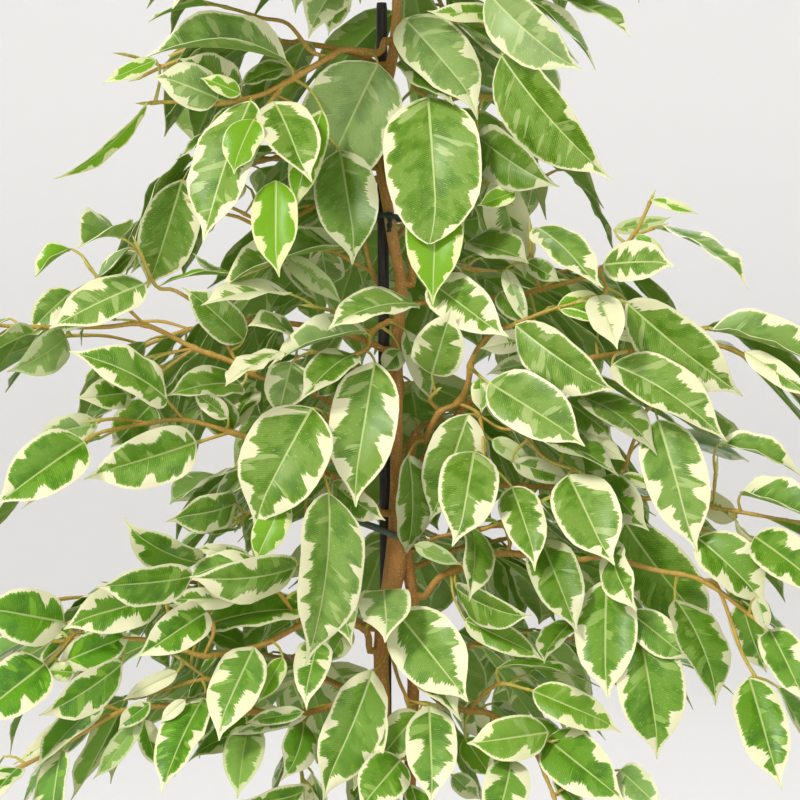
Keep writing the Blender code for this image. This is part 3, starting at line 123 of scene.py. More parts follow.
# %% [markdown]
# ## The stems, the cane and the side branches
#
# Two stems rise from the soil, lean on the cane and wander a little, as grown wood does. The side
# branches leave them at rising angles and arch over under their leaves. Each one is a short list of
# points along its middle, so its course can be corrected point by point.

# %% The course of the stems and branches
# Each row: picture point across, down, mm towards the camera, radius in mm.
STEM_MAIN = [
    (389, 1020, 8.6, 4.6), (387, 900, 8.0, 4.4), (384, 800, 8.4, 4.3), (382, 700, 8.4, 4.2),
    (381.5, 640, 8.2, 3.9), (388, 590, 8.0, 3.9), (392, 560, 7.6, 3.9), (395.5, 520, 7.4, 3.8),
    (396.5, 480, 6.6, 3.5), (396.5, 420, 6.0, 3.3), (397, 350, 5.2, 3.2), (400.5, 300, 5.0, 3.1),
    (400, 275, 5.2, 3.0), (394, 245, 6.4, 3.0), (389, 215, 7.2, 3.0), (385, 190, 7.2, 3.0),
    (379.6, 150, 7.2, 2.95), (382, 110, 7.2, 2.9), (390, 70, 6.8, 2.9), (395, 40, 6.0, 2.8),
    (397, 0, 5.0, 2.6), (398, -60, 4.0, 2.3), (396, -130, 3.0, 2.0), (399, -200, 2.0, 1.6),
    (397, -270, 1.0, 1.3), (398, -325, 0.0, 1.0)]
STEM_SECOND = [
    (400, 1020, 2.0, 3.6), (404, 900, 2.6, 3.5), (409, 800, 3.0, 3.4), (413, 700, 3.0, 3.3),
    (414, 640, 3.0, 3.3), (413, 600, 3.0, 3.3), (410, 580, 3.0, 3.2), (406.5, 555, 3.0, 3.1),
    (406, 520, 2.6, 3.0), (408, 480, 1.0, 2.9), (411, 450, 0.0, 2.8), (417, 432, -1.0, 2.4)]
CANE = [(386.5, 1020, 0), (385.5, 600, 0), (383.5, 300, 0), (381.6, 3, 0)]

# Each leafy branch: the stem it grows from, the height where it leaves it (picture points down),
# radii at both ends, its own line, and its side twigs, which start on that line.
BRANCHES = {
    "branch_left_top": ("main", 42, 2.1, 0.9,
        [(378, 53, 13), (345, 50, 20), (330, 57, 24), (285, 83, 32), (255, 97, 38),
         (215, 104, 42), (172, 102, 46), (150, 103, 49)],
        [[(285, 83, 32), (270, 102, 37), (262, 118, 42)],
         [(330, 57, 24), (311, 51, 24), (288, 24, 22), (262, 18, 21), (240, 11, 20), (205, 2, 18)]]),
    "branch_left_upper": ("main", 168, 1.5, 0.9,
        [(352, 178, 12), (305, 212, 22), (265, 226, 30), (238, 217, 34), (222, 213, 38),
         (195, 203, 42)],
        [[(265, 226, 30), (245, 214, 33), (224, 204, 36)]]),
    "branch_left_fork": ("main", 300, 1.7, 0.9,
        [(391, 295, -8), (380, 285, -7.5), (372, 272, -3), (366, 250, 4), (361, 228, 10), (352, 205, 14)],
        [[(372, 272, -3), (358, 265, 2), (332, 251, 8), (305, 247, 14), (285, 255, 18)]]),
    "branch_left_mid": ("main", 322, 1.5, 0.9,
        [(384, 324, 10), (372, 332, 14), (365, 350, 19), (340, 357, 26), (316, 352, 32)],
        [[(372, 332, 14), (350, 323, 17), (335, 312, 21), (314, 307, 26)]]),
    "branch_left_long": ("main", 438, 2.0, 0.9,
        [(398, 437, -6), (392, 434, -9.5), (378, 427, -8.5), (350, 412, 2), (310, 392, 12),
         (258, 376, 26), (230, 361, 33),
         (194, 348, 40), (145, 325, 52), (102, 327, 60), (25, 327, 74), (-32, 322, 82)],
        [[(145, 325, 52), (126, 307, 56), (108, 290, 62), (90, 268, 68)],
         [(194, 348, 40), (163, 370, 46)],
         [(194, 348, 40), (149, 357, 49)],
         [(237, 364, 31), (209, 316, 36), (176, 291, 42), (156, 286, 47), (139, 250, 52)]]),
    "branch_left_inner": ("main", 372, 1.5, 0.9,
        [(384, 375, 10), (360, 385, 18), (334, 403, 30), (329, 433, 38), (319, 459, 44),
         (305, 484, 50), (287, 497, 55)],
        [[(319, 459, 44), (328, 489, 52)], [(305, 484, 50), (306, 530, 42)]]),
    "branch_left_low": ("main", 513, 1.9, 0.9,
        [(379, 511, 13), (362, 493, 17), (335, 478, 24), (290, 455, 34), (231, 432, 46),
         (184, 420, 55), (150, 423, 61), (102, 432, 70), (84, 442, 76)],
        [[(231, 432, 46), (199, 442, 55)], [(184, 420, 55), (166, 399, 62)],
         [(150, 423, 61), (120, 419, 66), (100, 420, 70)], [(290, 455, 34), (262, 500, 38), (240, 520, 42)]]),
    "branch_left_leafy": ("main", 650, 1.9, 0.9,
        [(367, 632, 13), (350, 623, 18), (322, 614, 26), (300, 625, 33), (262, 645, 44),
         (230, 652, 51), (204, 656, 56), (180, 649, 62), (150, 640, 68), (94, 639, 80),
         (54, 641, 88), (20, 632, 94)],
        [[(94, 639, 80), (77, 632, 83), (62, 648, 88), (45, 665, 92)],
         [(204, 656, 56), (214, 630, 54), (207, 612, 54), (200, 585, 56)],
         [(180, 649, 62), (170, 620, 66), (166, 600, 70)],
         [(300, 625, 33), (285, 600, 40), (262, 575, 48), (256, 561, 52)]]),
    "branch_left_bottom": ("main", 692, 1.9, 0.9,
        [(350, 700, 18), (305, 713, 30), (255, 712, 41), (205, 705, 52), (158, 706, 61),
         (122, 711, 69), (89, 729, 76), (50, 752, 84), (20, 767, 90), (-22, 785, 97)],
        [[(255, 712, 41), (230, 690, 47), (207, 679, 51), (172, 688, 56), (140, 697, 61)],
         [(122, 711, 69), (102, 704, 75)], [(207, 679, 51), (182, 660, 56)],
         [(305, 713, 30), (300, 750, 34), (303, 785, 36)]]),
    "branch_low_front": ("main", 622, 1.1, 0.9,
        [(391, 650, 18), (398, 678, 21), (407, 700, 24), (411, 725, 27), (402, 752, 31),
         (396, 775, 34)],
        [[(391, 650, 18), (378, 667, 25), (372, 672, 30)], [(407, 700, 24), (427, 705, 30)]]),
    "branch_right_low": ("second", 596, 2.0, 0.9,
        [(440, 577, 11), (457, 570, 16), (489, 557, 25), (507, 553, 31), (533, 556, 37),
         (575, 560, 46), (607, 557, 54), (655, 570, 62), (701, 580, 70), (749, 614, 79),
         (783, 645, 86), (812, 668, 92)],
        [[(507, 553, 31), (510, 543, 34), (505, 526, 38)],
         [(607, 557, 54), (612, 580, 59), (625, 600, 63), (635, 622, 67), (650, 650, 70)],
         [(701, 580, 70), (716, 584, 71), (732, 624, 75), (742, 653, 79), (756, 678, 84)]]),
    "branch_right_thin": ("second", 550, 1.2, 0.9,
        [(428, 541, 8), (455, 533, 12), (480, 530, 17), (502, 522, 22), (528, 508, 28),
         (545, 500, 33)], []),
    "branch_right_dark": ("second", 566, 1.3, 0.9,
        [(431, 560, -4), (460, 548, -14), (500, 540, -26), (545, 530, -40), (590, 535, -54)],
        [[(500, 540, -26), (520, 560, -34), (545, 580, -40)]]),
    "branch_right_core": ("second", 440, 2.0, 0.9,
        [(440, 412, 9), (458, 403, 15), (468, 383, 21), (472, 360, 26), (487, 337, 32),
         (508, 327, 38), (545, 312, 44), (575, 303, 49)],
        [[(458, 403, 15), (478, 414, 23), (483, 440, 32), (484, 462, 38)],
         [(440, 412, 9), (430, 400, 14), (436, 392, 20)],
         [(478, 414, 23), (500, 428, 30), (520, 432, 36), (545, 458, 42), (575, 470, 48)]]),
    "branch_right_long": ("second", 462, 1.9, 0.9,
        [(436, 440, -8), (470, 402, -12), (505, 380, -6), (540, 367, 5), (565, 362, 14),
         (609, 355, 30), (665, 345, 46), (720, 346, 60), (755, 362, 69), (800, 395, 80),
         (836, 415, 86)],
        [[(665, 345, 46), (700, 330, 56), (712, 329, 60)]]),
    "branch_right_top": ("main", 305, 1.6, 0.9,
        [(440, 300, 5), (490, 298, 10), (540, 290, 21), (599, 270, 38), (632, 237, 50),
         (643, 218, 54), (650, 202, 57)],
        [[(632, 237, 50), (654, 228, 56)], [(599, 270, 38), (606, 288, 44), (601, 300, 49)],
         [(540, 290, 21), (532, 262, 26), (530, 235, 32)]]),
    "branch_right_mid": ("second", 482, 1.7, 0.9,
        [(450, 480, -6), (500, 485, -4), (560, 488, 8), (600, 492, 24), (637, 498, 36),
         (665, 501, 44), (698, 528, 56), (735, 540, 66), (757, 543, 72)],
        [[(600, 492, 24), (621, 474, 32), (633, 443, 37), (645, 413, 42), (652, 402, 46)],
         [(665, 501, 44), (729, 510, 58), (785, 520, 70), (830, 526, 78)]]),
    "branch_bottom_right": ("second", 655, 1.9, 0.9,
        [(430, 690, 8), (448, 706, 13), (470, 711, 18), (490, 714, 24), (520, 734, 31),
         (535, 752, 36), (545, 775, 41), (555, 800, 45), (560, 822, 48)],
        [[(520, 734, 31), (546, 740, 38)], [(470, 711, 18), (480, 698, 24), (500, 684, 31), (530, 690, 38)],
         [(490, 714, 24), (508, 745, 31), (512, 762, 36)]]),
    "branch_upright": ("main", 284, 2.1, 1.0,
        [(411, 254, 4), (417, 220, 3), (420, 170, 1), (422, 125, 4), (450, 100, 12),
         (500, 97, 22), (540, 104, 30)],
        [[(417, 220, 3), (450, 200, 12), (480, 185, 20), (500, 175, 27)]]),
    "branch_top_right": ("main", 48, 1.3, 0.9,
        [(403, 60, 13), (415, 88, 19), (428, 97, 24)], []),
    "branch_top_front": ("main", 30, 1.7, 0.9,
        [(415, 32, 11), (440, 27, 14), (470, 14, 19), (500, 2, 25), (535, -16, 31)],
        [[(470, 14, 19), (492, 30, 26), (504, 50, 33)]]),
    "branch_top_left": ("main", -18, 1.7, 0.9,
        [(370, -22, 12), (345, -36, 20), (310, -46, 28), (270, -44, 34)],
        [[(345, -36, 20), (352, -10, 24)]]),
}
print("branches in the photo:", len(BRANCHES))

# %% [markdown]
# ## The leaves
#
# The larger leaves hang as the photo shows them, so each has its own row: where the petiole ends,
# where the tip is, how wide it looks, how near it is, its tone and how it is turned. The rest of
# the leaves follow a rule, and the circles after them are the places that have to stay open.

# %% Rows for the leaves and the open places
# Leaves read from the photo: base across, base down, tip across, tip down, seen width, mm towards
# the camera, tone and pose. Tones: g green with a pale edge, d darkened with painted shade, p paled
# with painted light, y fresh and l lime, both also painting the yellow-green glow of light through a
# leaf, c mostly cream, o seen from beneath, b withered. Poses: R or L only that half is seen (right
# or left hand walking to the tip), r or l that half is wider, e on edge, - the tip leans away.
PHOTO_LEAVES = [
    (286, 61, 145, 53, 38, 38, "g", "R"), (156, 60, 103, 84, 17, 52, "l", ""),
    (240, 95, 180, 57, 44, 28, "g", ""), (218, 99, 154, 74, 46, 20, "p", "-"),
    (240, 94, 200, 77, 20, 48, "l", ""), (292, 68, 238, 88, 26, 24, "d", ""),
    (147, 103, 55, 182, 12, 50, "l", "e"), (251, 101, 204, 241, 64, 46, "g", "r"),
    (238, 165, 204, 238, 34, 34, "g", "-"), (254, 120, 232, 174, 42, 64, "l", "r"),
    (274, 102, 306, 181, 60, 44, "g", "l"), (322, 110, 293, 210, 34, 40, "l", ""),
    (378, 64, 319, 189, 98, 26, "p", ""), (340, 150, 358, 262, 64, 22, "d", ""),
    (276, 181, 276, 276, 47, 44, "l", ""), (182, 180, 148, 289, 62, 34, "g", "l"),
    (245, 185, 225, 205, 14, 30, "c", ""), (121, 238, 78, 249, 32, 54, "g", "R"),
    (71, 249, 36, 278, 16, 70, "l", "R"), (350, 248, 213, 291, 30, 20, "g", "R"),
    (288, 258, 345, 303, 24, 14, "o", ""), (283, 262, 318, 302, 14, 8, "d", "-"),
    (228, 272, 193, 253, 9, 8, "p", "e"), (320, 240, 328, 285, 40, 0, "p", "-"),
    (367, 333, 268, 366, 24, 26, "p", "R"), (418, 305, 325, 330, 38, 22, "g", "r"),
    (375, 362, 351, 506, 70, 26, "g", ""), (355, 355, 303, 400, 38, 20, "d", ""),
    (292, 362, 278, 418, 44, 36, "p", ""), (290, 294, 203, 306, 28, 28, "c", ""),
    (297, 338, 248, 322, 26, 18, "g", ""), (400, 350, 383, 372, 24, 13, "d", ""),
    (145, 284, 50, 329, 50, 56, "g", "r"), (127, 307, 42, 334, 18, 54, "d", ""),
    (72, 292, 28, 334, 34, 50, "g", ""), (66, 337, 10, 373, 34, 66, "o", ""),
    (167, 400, 69, 353, 45, 64, "g", "r"), (244, 340, 184, 286, 40, 30, "d", ""),
    (239, 277, 157, 286, 12, 40, "l", "e"), (280, 352, 222, 387, 28, 40, "c", ""),
    (242, 386, 166, 397, 38, 34, "d", "r"), (312, 408, 249, 528, 86, 46, "g", ""),
    (328, 493, 306, 664, 66, 54, "g", ""), (285, 500, 254, 564, 34, 58, "l", ""),
    (294, 492, 250, 520, 26, 40, "g", ""), (300, 590, 326, 660, 28, 38, "g", "-"),
    (345, 372, 316, 398, 22, 24, "d", ""), (332, 482, 386, 520, 28, 24, "g", ""),
    (330, 478, 300, 497, 22, 34, "d", "-"), (130, 394, 78, 401, 34, 56, "g", ""),
    (232, 430, 200, 392, 36, 40, "d", ""), (233, 430, 258, 388, 30, 40, "g", "-"),
    (228, 418, 192, 391, 22, 46, "g", ""), (98, 423, 34, 438, 30, 66, "p", ""),
    (84, 442, -5, 506, 62, 78, "g", ""), (87, 443, 20, 508, 9, 70, "c", "e"),
    (196, 442, 83, 476, 60, 56, "g", "l"), (152, 404, 112, 448, 44, 48, "d", ""),
    (236, 503, 166, 517, 36, 42, "g", ""), (234, 468, 180, 500, 10, 40, "c", "e"),
    (240, 528, 172, 520, 11, 40, "d", "e"), (198, 562, 121, 522, 38, 58, "g", ""),
    (192, 576, 98, 585, 40, 54, "g", ""), (163, 597, 61, 625, 50, 72, "g", ""),
    (64, 622, -22, 606, 58, 88, "g", ""), (256, 560, 184, 580, 26, 54, "g", ""),
    (250, 556, 192, 547, 15, 48, "g", ""), (297, 566, 189, 577, 42, 58, "g", "l"),
    (240, 598, 163, 600, 24, 62, "g", ""), (203, 627, 322, 612, 40, 46, "g", ""),
    (207, 612, 135, 660, 44, 58, "g", ""), (214, 606, 162, 603, 10, 54, "c", "e"),
    (205, 630, 250, 652, 30, 42, "d", "-"), (73, 672, 47, 670, 20, 92, "l", ""),
    (45, 664, -32, 725, 60, 95, "g", ""), (60, 663, 134, 634, 38, 88, "g", ""),
    (254, 647, 213, 738, 52, 54, "g", ""), (204, 698, 162, 793, 46, 60, "g", "r"),
    (122, 663, 40, 716, 38, 76, "g", ""), (101, 702, 15, 767, 24, 88, "g", ""),
    (100, 706, 38, 769, 32, 80, "g", ""), (143, 716, 95, 781, 22, 72, "o", ""),
    (60, 748, 38, 812, 22, 86, "o", ""), (18, 768, -12, 806, 30, 94, "g", ""),
    (248, 726, 237, 799, 42, 52, "o", ""), (150, 703, 117, 728, 20, 66, "d", ""),
    (144, 720, 160, 771, 24, 64, "g", ""), (205, 693, 150, 697, 10, 56, "d", "e"),
    (177, 672, 122, 699, 18, 60, "c", ""), (185, 700, 160, 722, 14, 64, "c", ""),
    (303, 791, 240, 801, 30, 38, "g", ""), (303, 722, 285, 781, 34, 40, "d", ""),
    (305, 717, 225, 735, 14, 46, "d", ""), (303, 712, 245, 722, 18, 38, "d", ""),
    (283, 658, 258, 703, 22, 48, "l", ""), (318, 640, 302, 709, 38, 40, "g", ""),
    (372, 670, 317, 797, 62, 34, "g", "l"), (372, 701, 357, 791, 42, 42, "y", ""),
    (429, 706, 433, 804, 52, 34, "g", ""), (418, 712, 372, 768, 40, 28, "y", ""),
    (400, 760, 356, 812, 50, 38, "g", ""), (384, 590, 388, 641, 54, 40, "p", ""),
    (348, 627, 326, 665, 26, 26, "d", ""), (415, 545, 462, 566, 18, 12, "o", ""),
    (470, 526, 467, 599, 34, 28, "g", "l"), (457, 588, 533, 619, 32, 26, "g", ""),
    (465, 620, 546, 659, 30, 36, "y", ""), (397, 612, 468, 701, 70, 34, "g", ""),
    (395, 638, 458, 722, 44, 24, "g", ""), (548, 732, 467, 744, 46, 42, "y", ""),
    (533, 691, 623, 729, 40, 42, "y", ""), (547, 739, 627, 803, 60, 42, "g", ""),
    (512, 760, 492, 842, 48, 40, "g", ""), (465, 738, 492, 778, 28, 16, "l", ""),
    (472, 700, 478, 738, 30, 12, "g", ""), (498, 668, 600, 688, 14, 38, "d", "e"),
    (572, 622, 540, 662, 26, 38, "d", ""), (607, 580, 606, 699, 64, 62, "g", "r"),
    (630, 612, 690, 661, 40, 66, "g", ""), (639, 628, 660, 759, 72, 72, "g", ""),
    (675, 600, 719, 704, 50, 64, "d", ""), (622, 517, 714, 632, 62, 74, "g", ""),
    (612, 545, 638, 611, 30, 62, "g", ""), (658, 420, 694, 553, 64, 60, "g", ""),
    (697, 538, 767, 607, 60, 76, "g", "l"), (755, 537, 836, 600, 50, 78, "g", ""),
    (742, 600, 768, 673, 30, 76, "g", ""), (757, 598, 767, 632, 18, 72, "d", ""),
    (770, 630, 807, 708, 44, 84, "g", ""), (749, 678, 780, 789, 52, 86, "g", ""),
    (620, 770, 664, 812, 36, 46, "p", ""), (553, 775, 587, 816, 18, 38, "d", ""),
    (452, 775, 480, 800, 22, 12, "p", ""), (568, 475, 610, 565, 66, 54, "g", ""),
    (512, 487, 539, 569, 44, 42, "g", ""), (541, 540, 578, 634, 52, 48, "d", ""),
    (520, 430, 620, 476, 36, 44, "d", ""), (512, 462, 572, 480, 24, 32, "d", ""),
    (474, 452, 457, 548, 60, 44, "g", ""), (468, 414, 432, 521, 58, 34, "g", ""),
    (489, 383, 586, 444, 62, 44, "g", ""), (408, 455, 406, 557, 38, 20, "d", ""),
    (516, 325, 614, 394, 48, 48, "g", ""), (431, 283, 506, 339, 52, 36, "g", ""),
    (432, 374, 452, 308, 52, 28, "g", ""), (405, 330, 432, 402, 24, 18, "d", ""),
    (480, 378, 482, 413, 20, 34, "y", ""), (437, 185, 432, 304, 60, 34, "l", ""),
    (582, 398, 657, 452, 40, 40, "d", ""), (565, 400, 615, 438, 38, 30, "d", ""),
    (580, 430, 626, 462, 22, 34, "c", ""), (492, 440, 531, 463, 20, 26, "o", ""),
    (622, 475, 657, 488, 14, 40, "y", ""), (600, 478, 646, 531, 40, 38, "d", ""),
    (735, 520, 690, 492, 28, 54, "c", ""), (735, 520, 767, 545, 10, 60, "c", "e"),
    (718, 445, 803, 477, 20, 60, "g", "L"), (741, 494, 833, 530, 28, 70, "g", "L"),
    (612, 365, 726, 442, 58, 56, "g", "l"), (627, 302, 744, 395, 54, 56, "g", ""),
    (712, 330, 832, 372, 30, 68, "g", "L"), (745, 352, 812, 397, 24, 74, "g", ""),
    (603, 265, 677, 262, 42, 44, "g", ""), (655, 227, 752, 285, 28, 60, "g", "l"),
    (651, 200, 698, 214, 12, 60, "l", ""), (614, 230, 672, 219, 16, 44, "o", ""),
    (636, 236, 667, 257, 14, 54, "l", ""), (404, 19, 484, 113, 70, 26, "p", "l"),
    (502, 55, 612, 180, 56, 38, "g", ""), (512, 20, 535, 62, 34, 28, "d", ""),
    (530, 25, 552, 60, 20, 22, "d", ""), (488, -8, 580, 73, 52, 38, "p", ""),
    (545, -5, 633, 35, 34, 34, "g", ""), (428, 97, 438, 243, 98, 34, "g", ""),
    (478, 135, 557, 188, 46, 24, "d", ""), (392, 120, 402, 198, 26, 18, "d", ""),
    (402, 60, 452, 105, 40, 16, "d", ""), (515, 192, 478, 207, 22, 40, "l", ""),
    (500, 172, 531, 277, 44, 32, "c", ""), (466, 243, 532, 262, 38, 20, "d", ""),
    (537, 228, 598, 291, 44, 40, "g", ""), (527, 262, 560, 282, 22, 28, "d", ""),
    (500, 292, 528, 325, 28, 22, "d", ""), (505, 270, 528, 327, 18, 28, "p", ""),
    (600, 300, 553, 308, 24, 52, "l", ""), (598, 296, 618, 349, 38, 46, "c", ""),
    (560, 310, 600, 322, 10, 46, "l", ""), (630, 308, 613, 325, 12, 36, "b", ""),
    (600, 330, 662, 346, 12, 34, "c", ""), (528, 338, 480, 350, 24, 34, "c", ""),
    (542, 362, 486, 372, 22, 14, "p", ""), (553, 378, 612, 394, 16, 22, "d", ""),
    (352, -40, 306, 35, 50, 30, "p", ""), (345, -5, 326, 35, 24, 26, "g", ""),
    (500, 14, 427, 15, 22, 28, "y", ""),
]

# Where the photo's wall shows between the leaves: across, down and radius in picture points.
OPEN_PLACES = [
    (60, 60, 98), (30, 170, 60), (90, 200, 20), (130, 150, 34), (120, 218, 16), (225, 12, 14),
    (247, 69, 10), (345, 33, 12), (365, 44, 9), (238, 216, 20), (222, 240, 10), (185, 264, 12),
    (213, 259, 9), (372, 238, 7), (371, 257, 5), (308, 300, 11), (345, 285, 8), (300, 322, 11),
    (125, 342, 12), (165, 340, 14), (95, 346, 11), (170, 312, 20), (130, 300, 4), (212, 345, 13),
    (190, 366, 10), (45, 395, 30), (60, 350, 14), (60, 545, 56), (130, 505, 34), (100, 560, 26),
    (215, 455, 20), (290, 530, 12), (374, 522, 5), (427, 577, 12), (492, 535, 13), (520, 545, 12),
    (500, 110, 10), (700, 90, 98), (640, 60, 40), (620, 150, 40), (565, 200, 20), (580, 218, 16),
    (770, 220, 70), (700, 270, 12), (720, 300, 14), (640, 282, 9), (748, 398, 24), (780, 430, 22),
    (610, 455, 9), (640, 455, 10), (655, 442, 7), (652, 488, 6), (668, 516, 7), (735, 474, 10),
    (730, 492, 6), (785, 508, 8), (785, 533, 8), (733, 605, 8), (735, 650, 7), (715, 740, 28),
    (700, 785, 34), (615, 702, 14), (630, 750, 16), (690, 720, 12), (530, 785, 16), (105, 690, 10),
    (150, 682, 5), (85, 790, 15), (140, 785, 18), (195, 790, 10), (250, 768, 14), (350, 668, 12),
    (398, 670, 7), (325, 706, 7), (790, 770, 10), (20, 745, 10), (425, 760, 3), (560, 590, 3)]
print("leaves in the photo:", len(PHOTO_LEAVES), "open places:", len(OPEN_PLACES))

# %% [markdown]
# ## Keeping pieces apart
#
# Leaves rest near each other but don't grow through each other. Every twig and leaf that is placed
# leaves a coarse skin with a search tree behind, and a new one is kept only if it meets none.

# %% The bark as a search tree
def bark_tree(points, radii):
    """A search tree of the round bark along the points, for rays; each point has a radius in mm."""
    curve = bpy.data.curves.new("bark_guide", "CURVE")
    curve.dimensions = "3D"
    curve.bevel_depth = MM
    curve.bevel_resolution = 2
    curve.use_fill_caps = True
    curve.twist_mode = "MINIMUM"
    line = curve.splines.new("POLY")
    line.points.add(len(points) - 1)
    for spot, where, radius in zip(line.points, points, radii):
        spot.co = (*where, 1)
        spot.radius = radius
    guide = bpy.data.objects.new("bark_guide", curve)
    bpy.context.scene.collection.objects.link(guide)
    bpy.context.view_layer.update()
    mesh = bpy.data.meshes.new_from_object(guide.evaluated_get(bpy.context.evaluated_depsgraph_get()))
    bpy.data.objects.remove(guide, do_unlink=True)
    tree = BVHTree.FromPolygons([v.co.copy() for v in mesh.vertices],
                                [tuple(p.vertices) for p in mesh.polygons])
    bpy.data.meshes.remove(mesh)
    return tree


STEMS = {"main": STEM_MAIN, "second": STEM_SECOND}
stem_spots = {label: [seen_at(*row[:3]) for row in line] for label, line in STEMS.items()}
stem_trees = {label: bark_tree(stem_spots[label], [row[3] for row in line]) for label, line in STEMS.items()}
cane_spots = [seen_at(*row) for row in CANE]
print("stems:", {label: len(spots) for label, spots in stem_spots.items()})

# %% Skins and a record of what is placed
def along_line(points, down):
    """Point and radius of a stem at a picture height."""
    for first, second in zip(points, points[1:]):
        if second[1] <= down <= first[1]:
            part = (first[1] - down) / (first[1] - second[1])
            return [a + (b - a) * part for a, b in zip(first, second)]
    return list(points[-1])


def skin(points, radii, sides=6, grow=0.0):
    """Corners and faces of a plain tube in metres, for finding what is near."""
    corners = []
    for index, here in enumerate(points):
        ahead = points[min(index + 1, len(points) - 1)]
        behind = points[max(index - 1, 0)]
        way = (ahead - behind).normalized()
        side = way.cross(Vector((0.0123, 0.1, 1))).normalized()
        up = side.cross(way)
        reach = (radii[index] + grow) * MM
        for step in range(sides):
            angle = 2 * math.pi * step / sides
            corners.append(here + (side * math.cos(angle) + up * math.sin(angle)) * reach)
    faces = []
    for ring in range(len(points) - 1):
        for step in range(sides):
            low = ring * sides + step
            nxt = ring * sides + (step + 1) % sides
            faces.append((low, nxt, nxt + sides, low + sides))
    faces.append(tuple(range(sides)))
    faces.append(tuple(range((len(points) - 1) * sides, len(points) * sides)))
    return corners, faces


class Placed:
    """Everything placed so far, with a box and a search tree for each piece."""
    def __init__(self):
        self.items = []

    def shape(self, corners, faces):
        low = [min(c[a] for c in corners) for a in range(3)]
        high = [max(c[a] for c in corners) for a in range(3)]
        return low, high, BVHTree.FromPolygons(corners, faces)

    def add(self, node, kind, corners, faces):
        self.items.append((node, kind, *self.shape(corners, faces)))

    def meets(self, corners, faces, allow=()):
        low, high, tree = self.shape(corners, faces)
        hits = []
        for node, kind, its_low, its_high, its_tree in self.items:
            if (node, kind) in allow or node in allow:
                continue
            if any(low[a] > its_high[a] or high[a] < its_low[a] for a in range(3)):
                continue
            if tree.overlap(its_tree):
                hits.append((node, kind))
                if len(hits) > 3:
                    break
        return hits


placed = Placed()
for label, line in STEMS.items():
    placed.add("stem_" + label, "wood", *skin(stem_spots[label], [row[3] for row in line], 8, LEAF_SPARE))
placed.add("cane", "wood", *skin(cane_spots, [CANE_RADIUS] * len(CANE), 8, LEAF_SPARE))
print("placed:", [item[0] for item in placed.items])

# %% The courses of the ties
def hull_loop(circles, spare, levels, per_circle=4):
    """A loop round upright rods: circles are (x, y, radius) in mm, levels gives z at a point."""
    middle = (sum(c[0] for c in circles) / len(circles), sum(c[1] for c in circles) / len(circles))
    loop = []
    for step in range(per_circle * 4):
        angle = 2 * math.pi * step / (per_circle * 4)
        way = (math.cos(angle), math.sin(angle))
        best = max(circles, key=lambda c: c[0] * way[0] + c[1] * way[1] + c[2])
        reach = best[2] + spare
        spot = (best[0] + way[0] * reach, best[1] + way[1] * reach)
        loop.append(Vector((spot[0], spot[1], levels(spot[0] - middle[0]))) * MM)
    clean = [loop[0]]
    for spot in loop[1:]:
        if (spot - clean[-1]).length > 0.6 * MM:
            clean.append(spot)
    return clean


def rod_at(line, down, radius=None):
    row = along_line(line, down)
    where = seen_at(*row[:3]) / MM
    return (where.x, where.y, radius if radius else row[3])


# Two ties hold the stems to the cane: a snug one with a twisted end, and a loose slanting one.
TIE_UPPER_RADIUS = 1.0
TIE_LOWER_RADIUS = 1.3
UPPER_DOWN, LOWER_DOWN = 217, 531      # picture heights of the ties
upper_level = seen_at(390, UPPER_DOWN, 0).z / MM
lower_level = seen_at(390, LOWER_DOWN, 0).z / MM
upper_loop = hull_loop([rod_at(CANE, UPPER_DOWN, CANE_RADIUS), rod_at(STEM_MAIN, UPPER_DOWN),
                        (6.5, -2.5, 1.2), (-11.0, -3.0, 0.6)],
                       TIE_UPPER_RADIUS + SEAT_GAP + 0.1, lambda x: upper_level - 0.10 * x)
lower_loop = hull_loop([rod_at(CANE, LOWER_DOWN, CANE_RADIUS), rod_at(STEM_MAIN, LOWER_DOWN),
                        rod_at(STEM_SECOND, LOWER_DOWN), (-15.5, -4.0, 1.5)],
                       TIE_LOWER_RADIUS + SEAT_GAP + 0.1, lambda x: lower_level - 0.35 * x)
knot = min(upper_loop, key=lambda p: p.y + abs(p.x - 0.2 * MM) * 0.5)
twist_end = [knot + Vector((0, -0.2, 1.6)) * MM, knot + Vector((0.3, -0.6, -3)) * MM,
             knot + Vector((-0.2, -1.0, -8.5)) * MM]
for name, loop, radius in (("tie_upper", upper_loop, TIE_UPPER_RADIUS),
                           ("tie_lower", lower_loop, TIE_LOWER_RADIUS)):
    placed.add(name, "wood", *skin(loop + loop[:1], [radius + 0.4] * (len(loop) + 1), 6, 0.4))
print("points of the ties:", len(upper_loop), len(lower_loop))

# %% [markdown]
# ## Growing the branches
#
# A side branch starts on the bark of its stem, so a ray finds the bark, and thins evenly to its
# end. A twig starts on the middle line of its branch. A leaf holds its base, tip, width, turn and
# fold, and a petiole joins it to the nearest wood.

# %% Where a branch is seated
def seat_on(label, down, towards_point, radius):
    """Where a branch starts on a stem, and the level direction in which it leaves it."""
    row = along_line(STEMS[label], down)
    middle = seen_at(*row[:3])
    way = towards_point - middle
    way.z = 0
    way.normalize()
    side = way.cross(Vector((0, 0, 1)))
    reach = -1.0
    for step in range(9):
        angle = 2 * math.pi * step / 8
        offset = (side * math.cos(angle) + Vector((0, 0, 1)) * math.sin(angle)) * radius * 1.02 * MM
        if step == 8:
            offset = Vector((0, 0, 0))
        hit = stem_trees[label].ray_cast(middle + offset + way * 0.03, -way)[0]
        if hit is not None:
            reach = max(reach, (hit - middle).dot(way))
    return middle + way * (reach + SEAT_GAP * MM), way


seat = seat_on("main", 692, seen_at(350, 700, 18), 1.9)[0]
print("a low branch starts at", [round(n, 3) for n in seat])

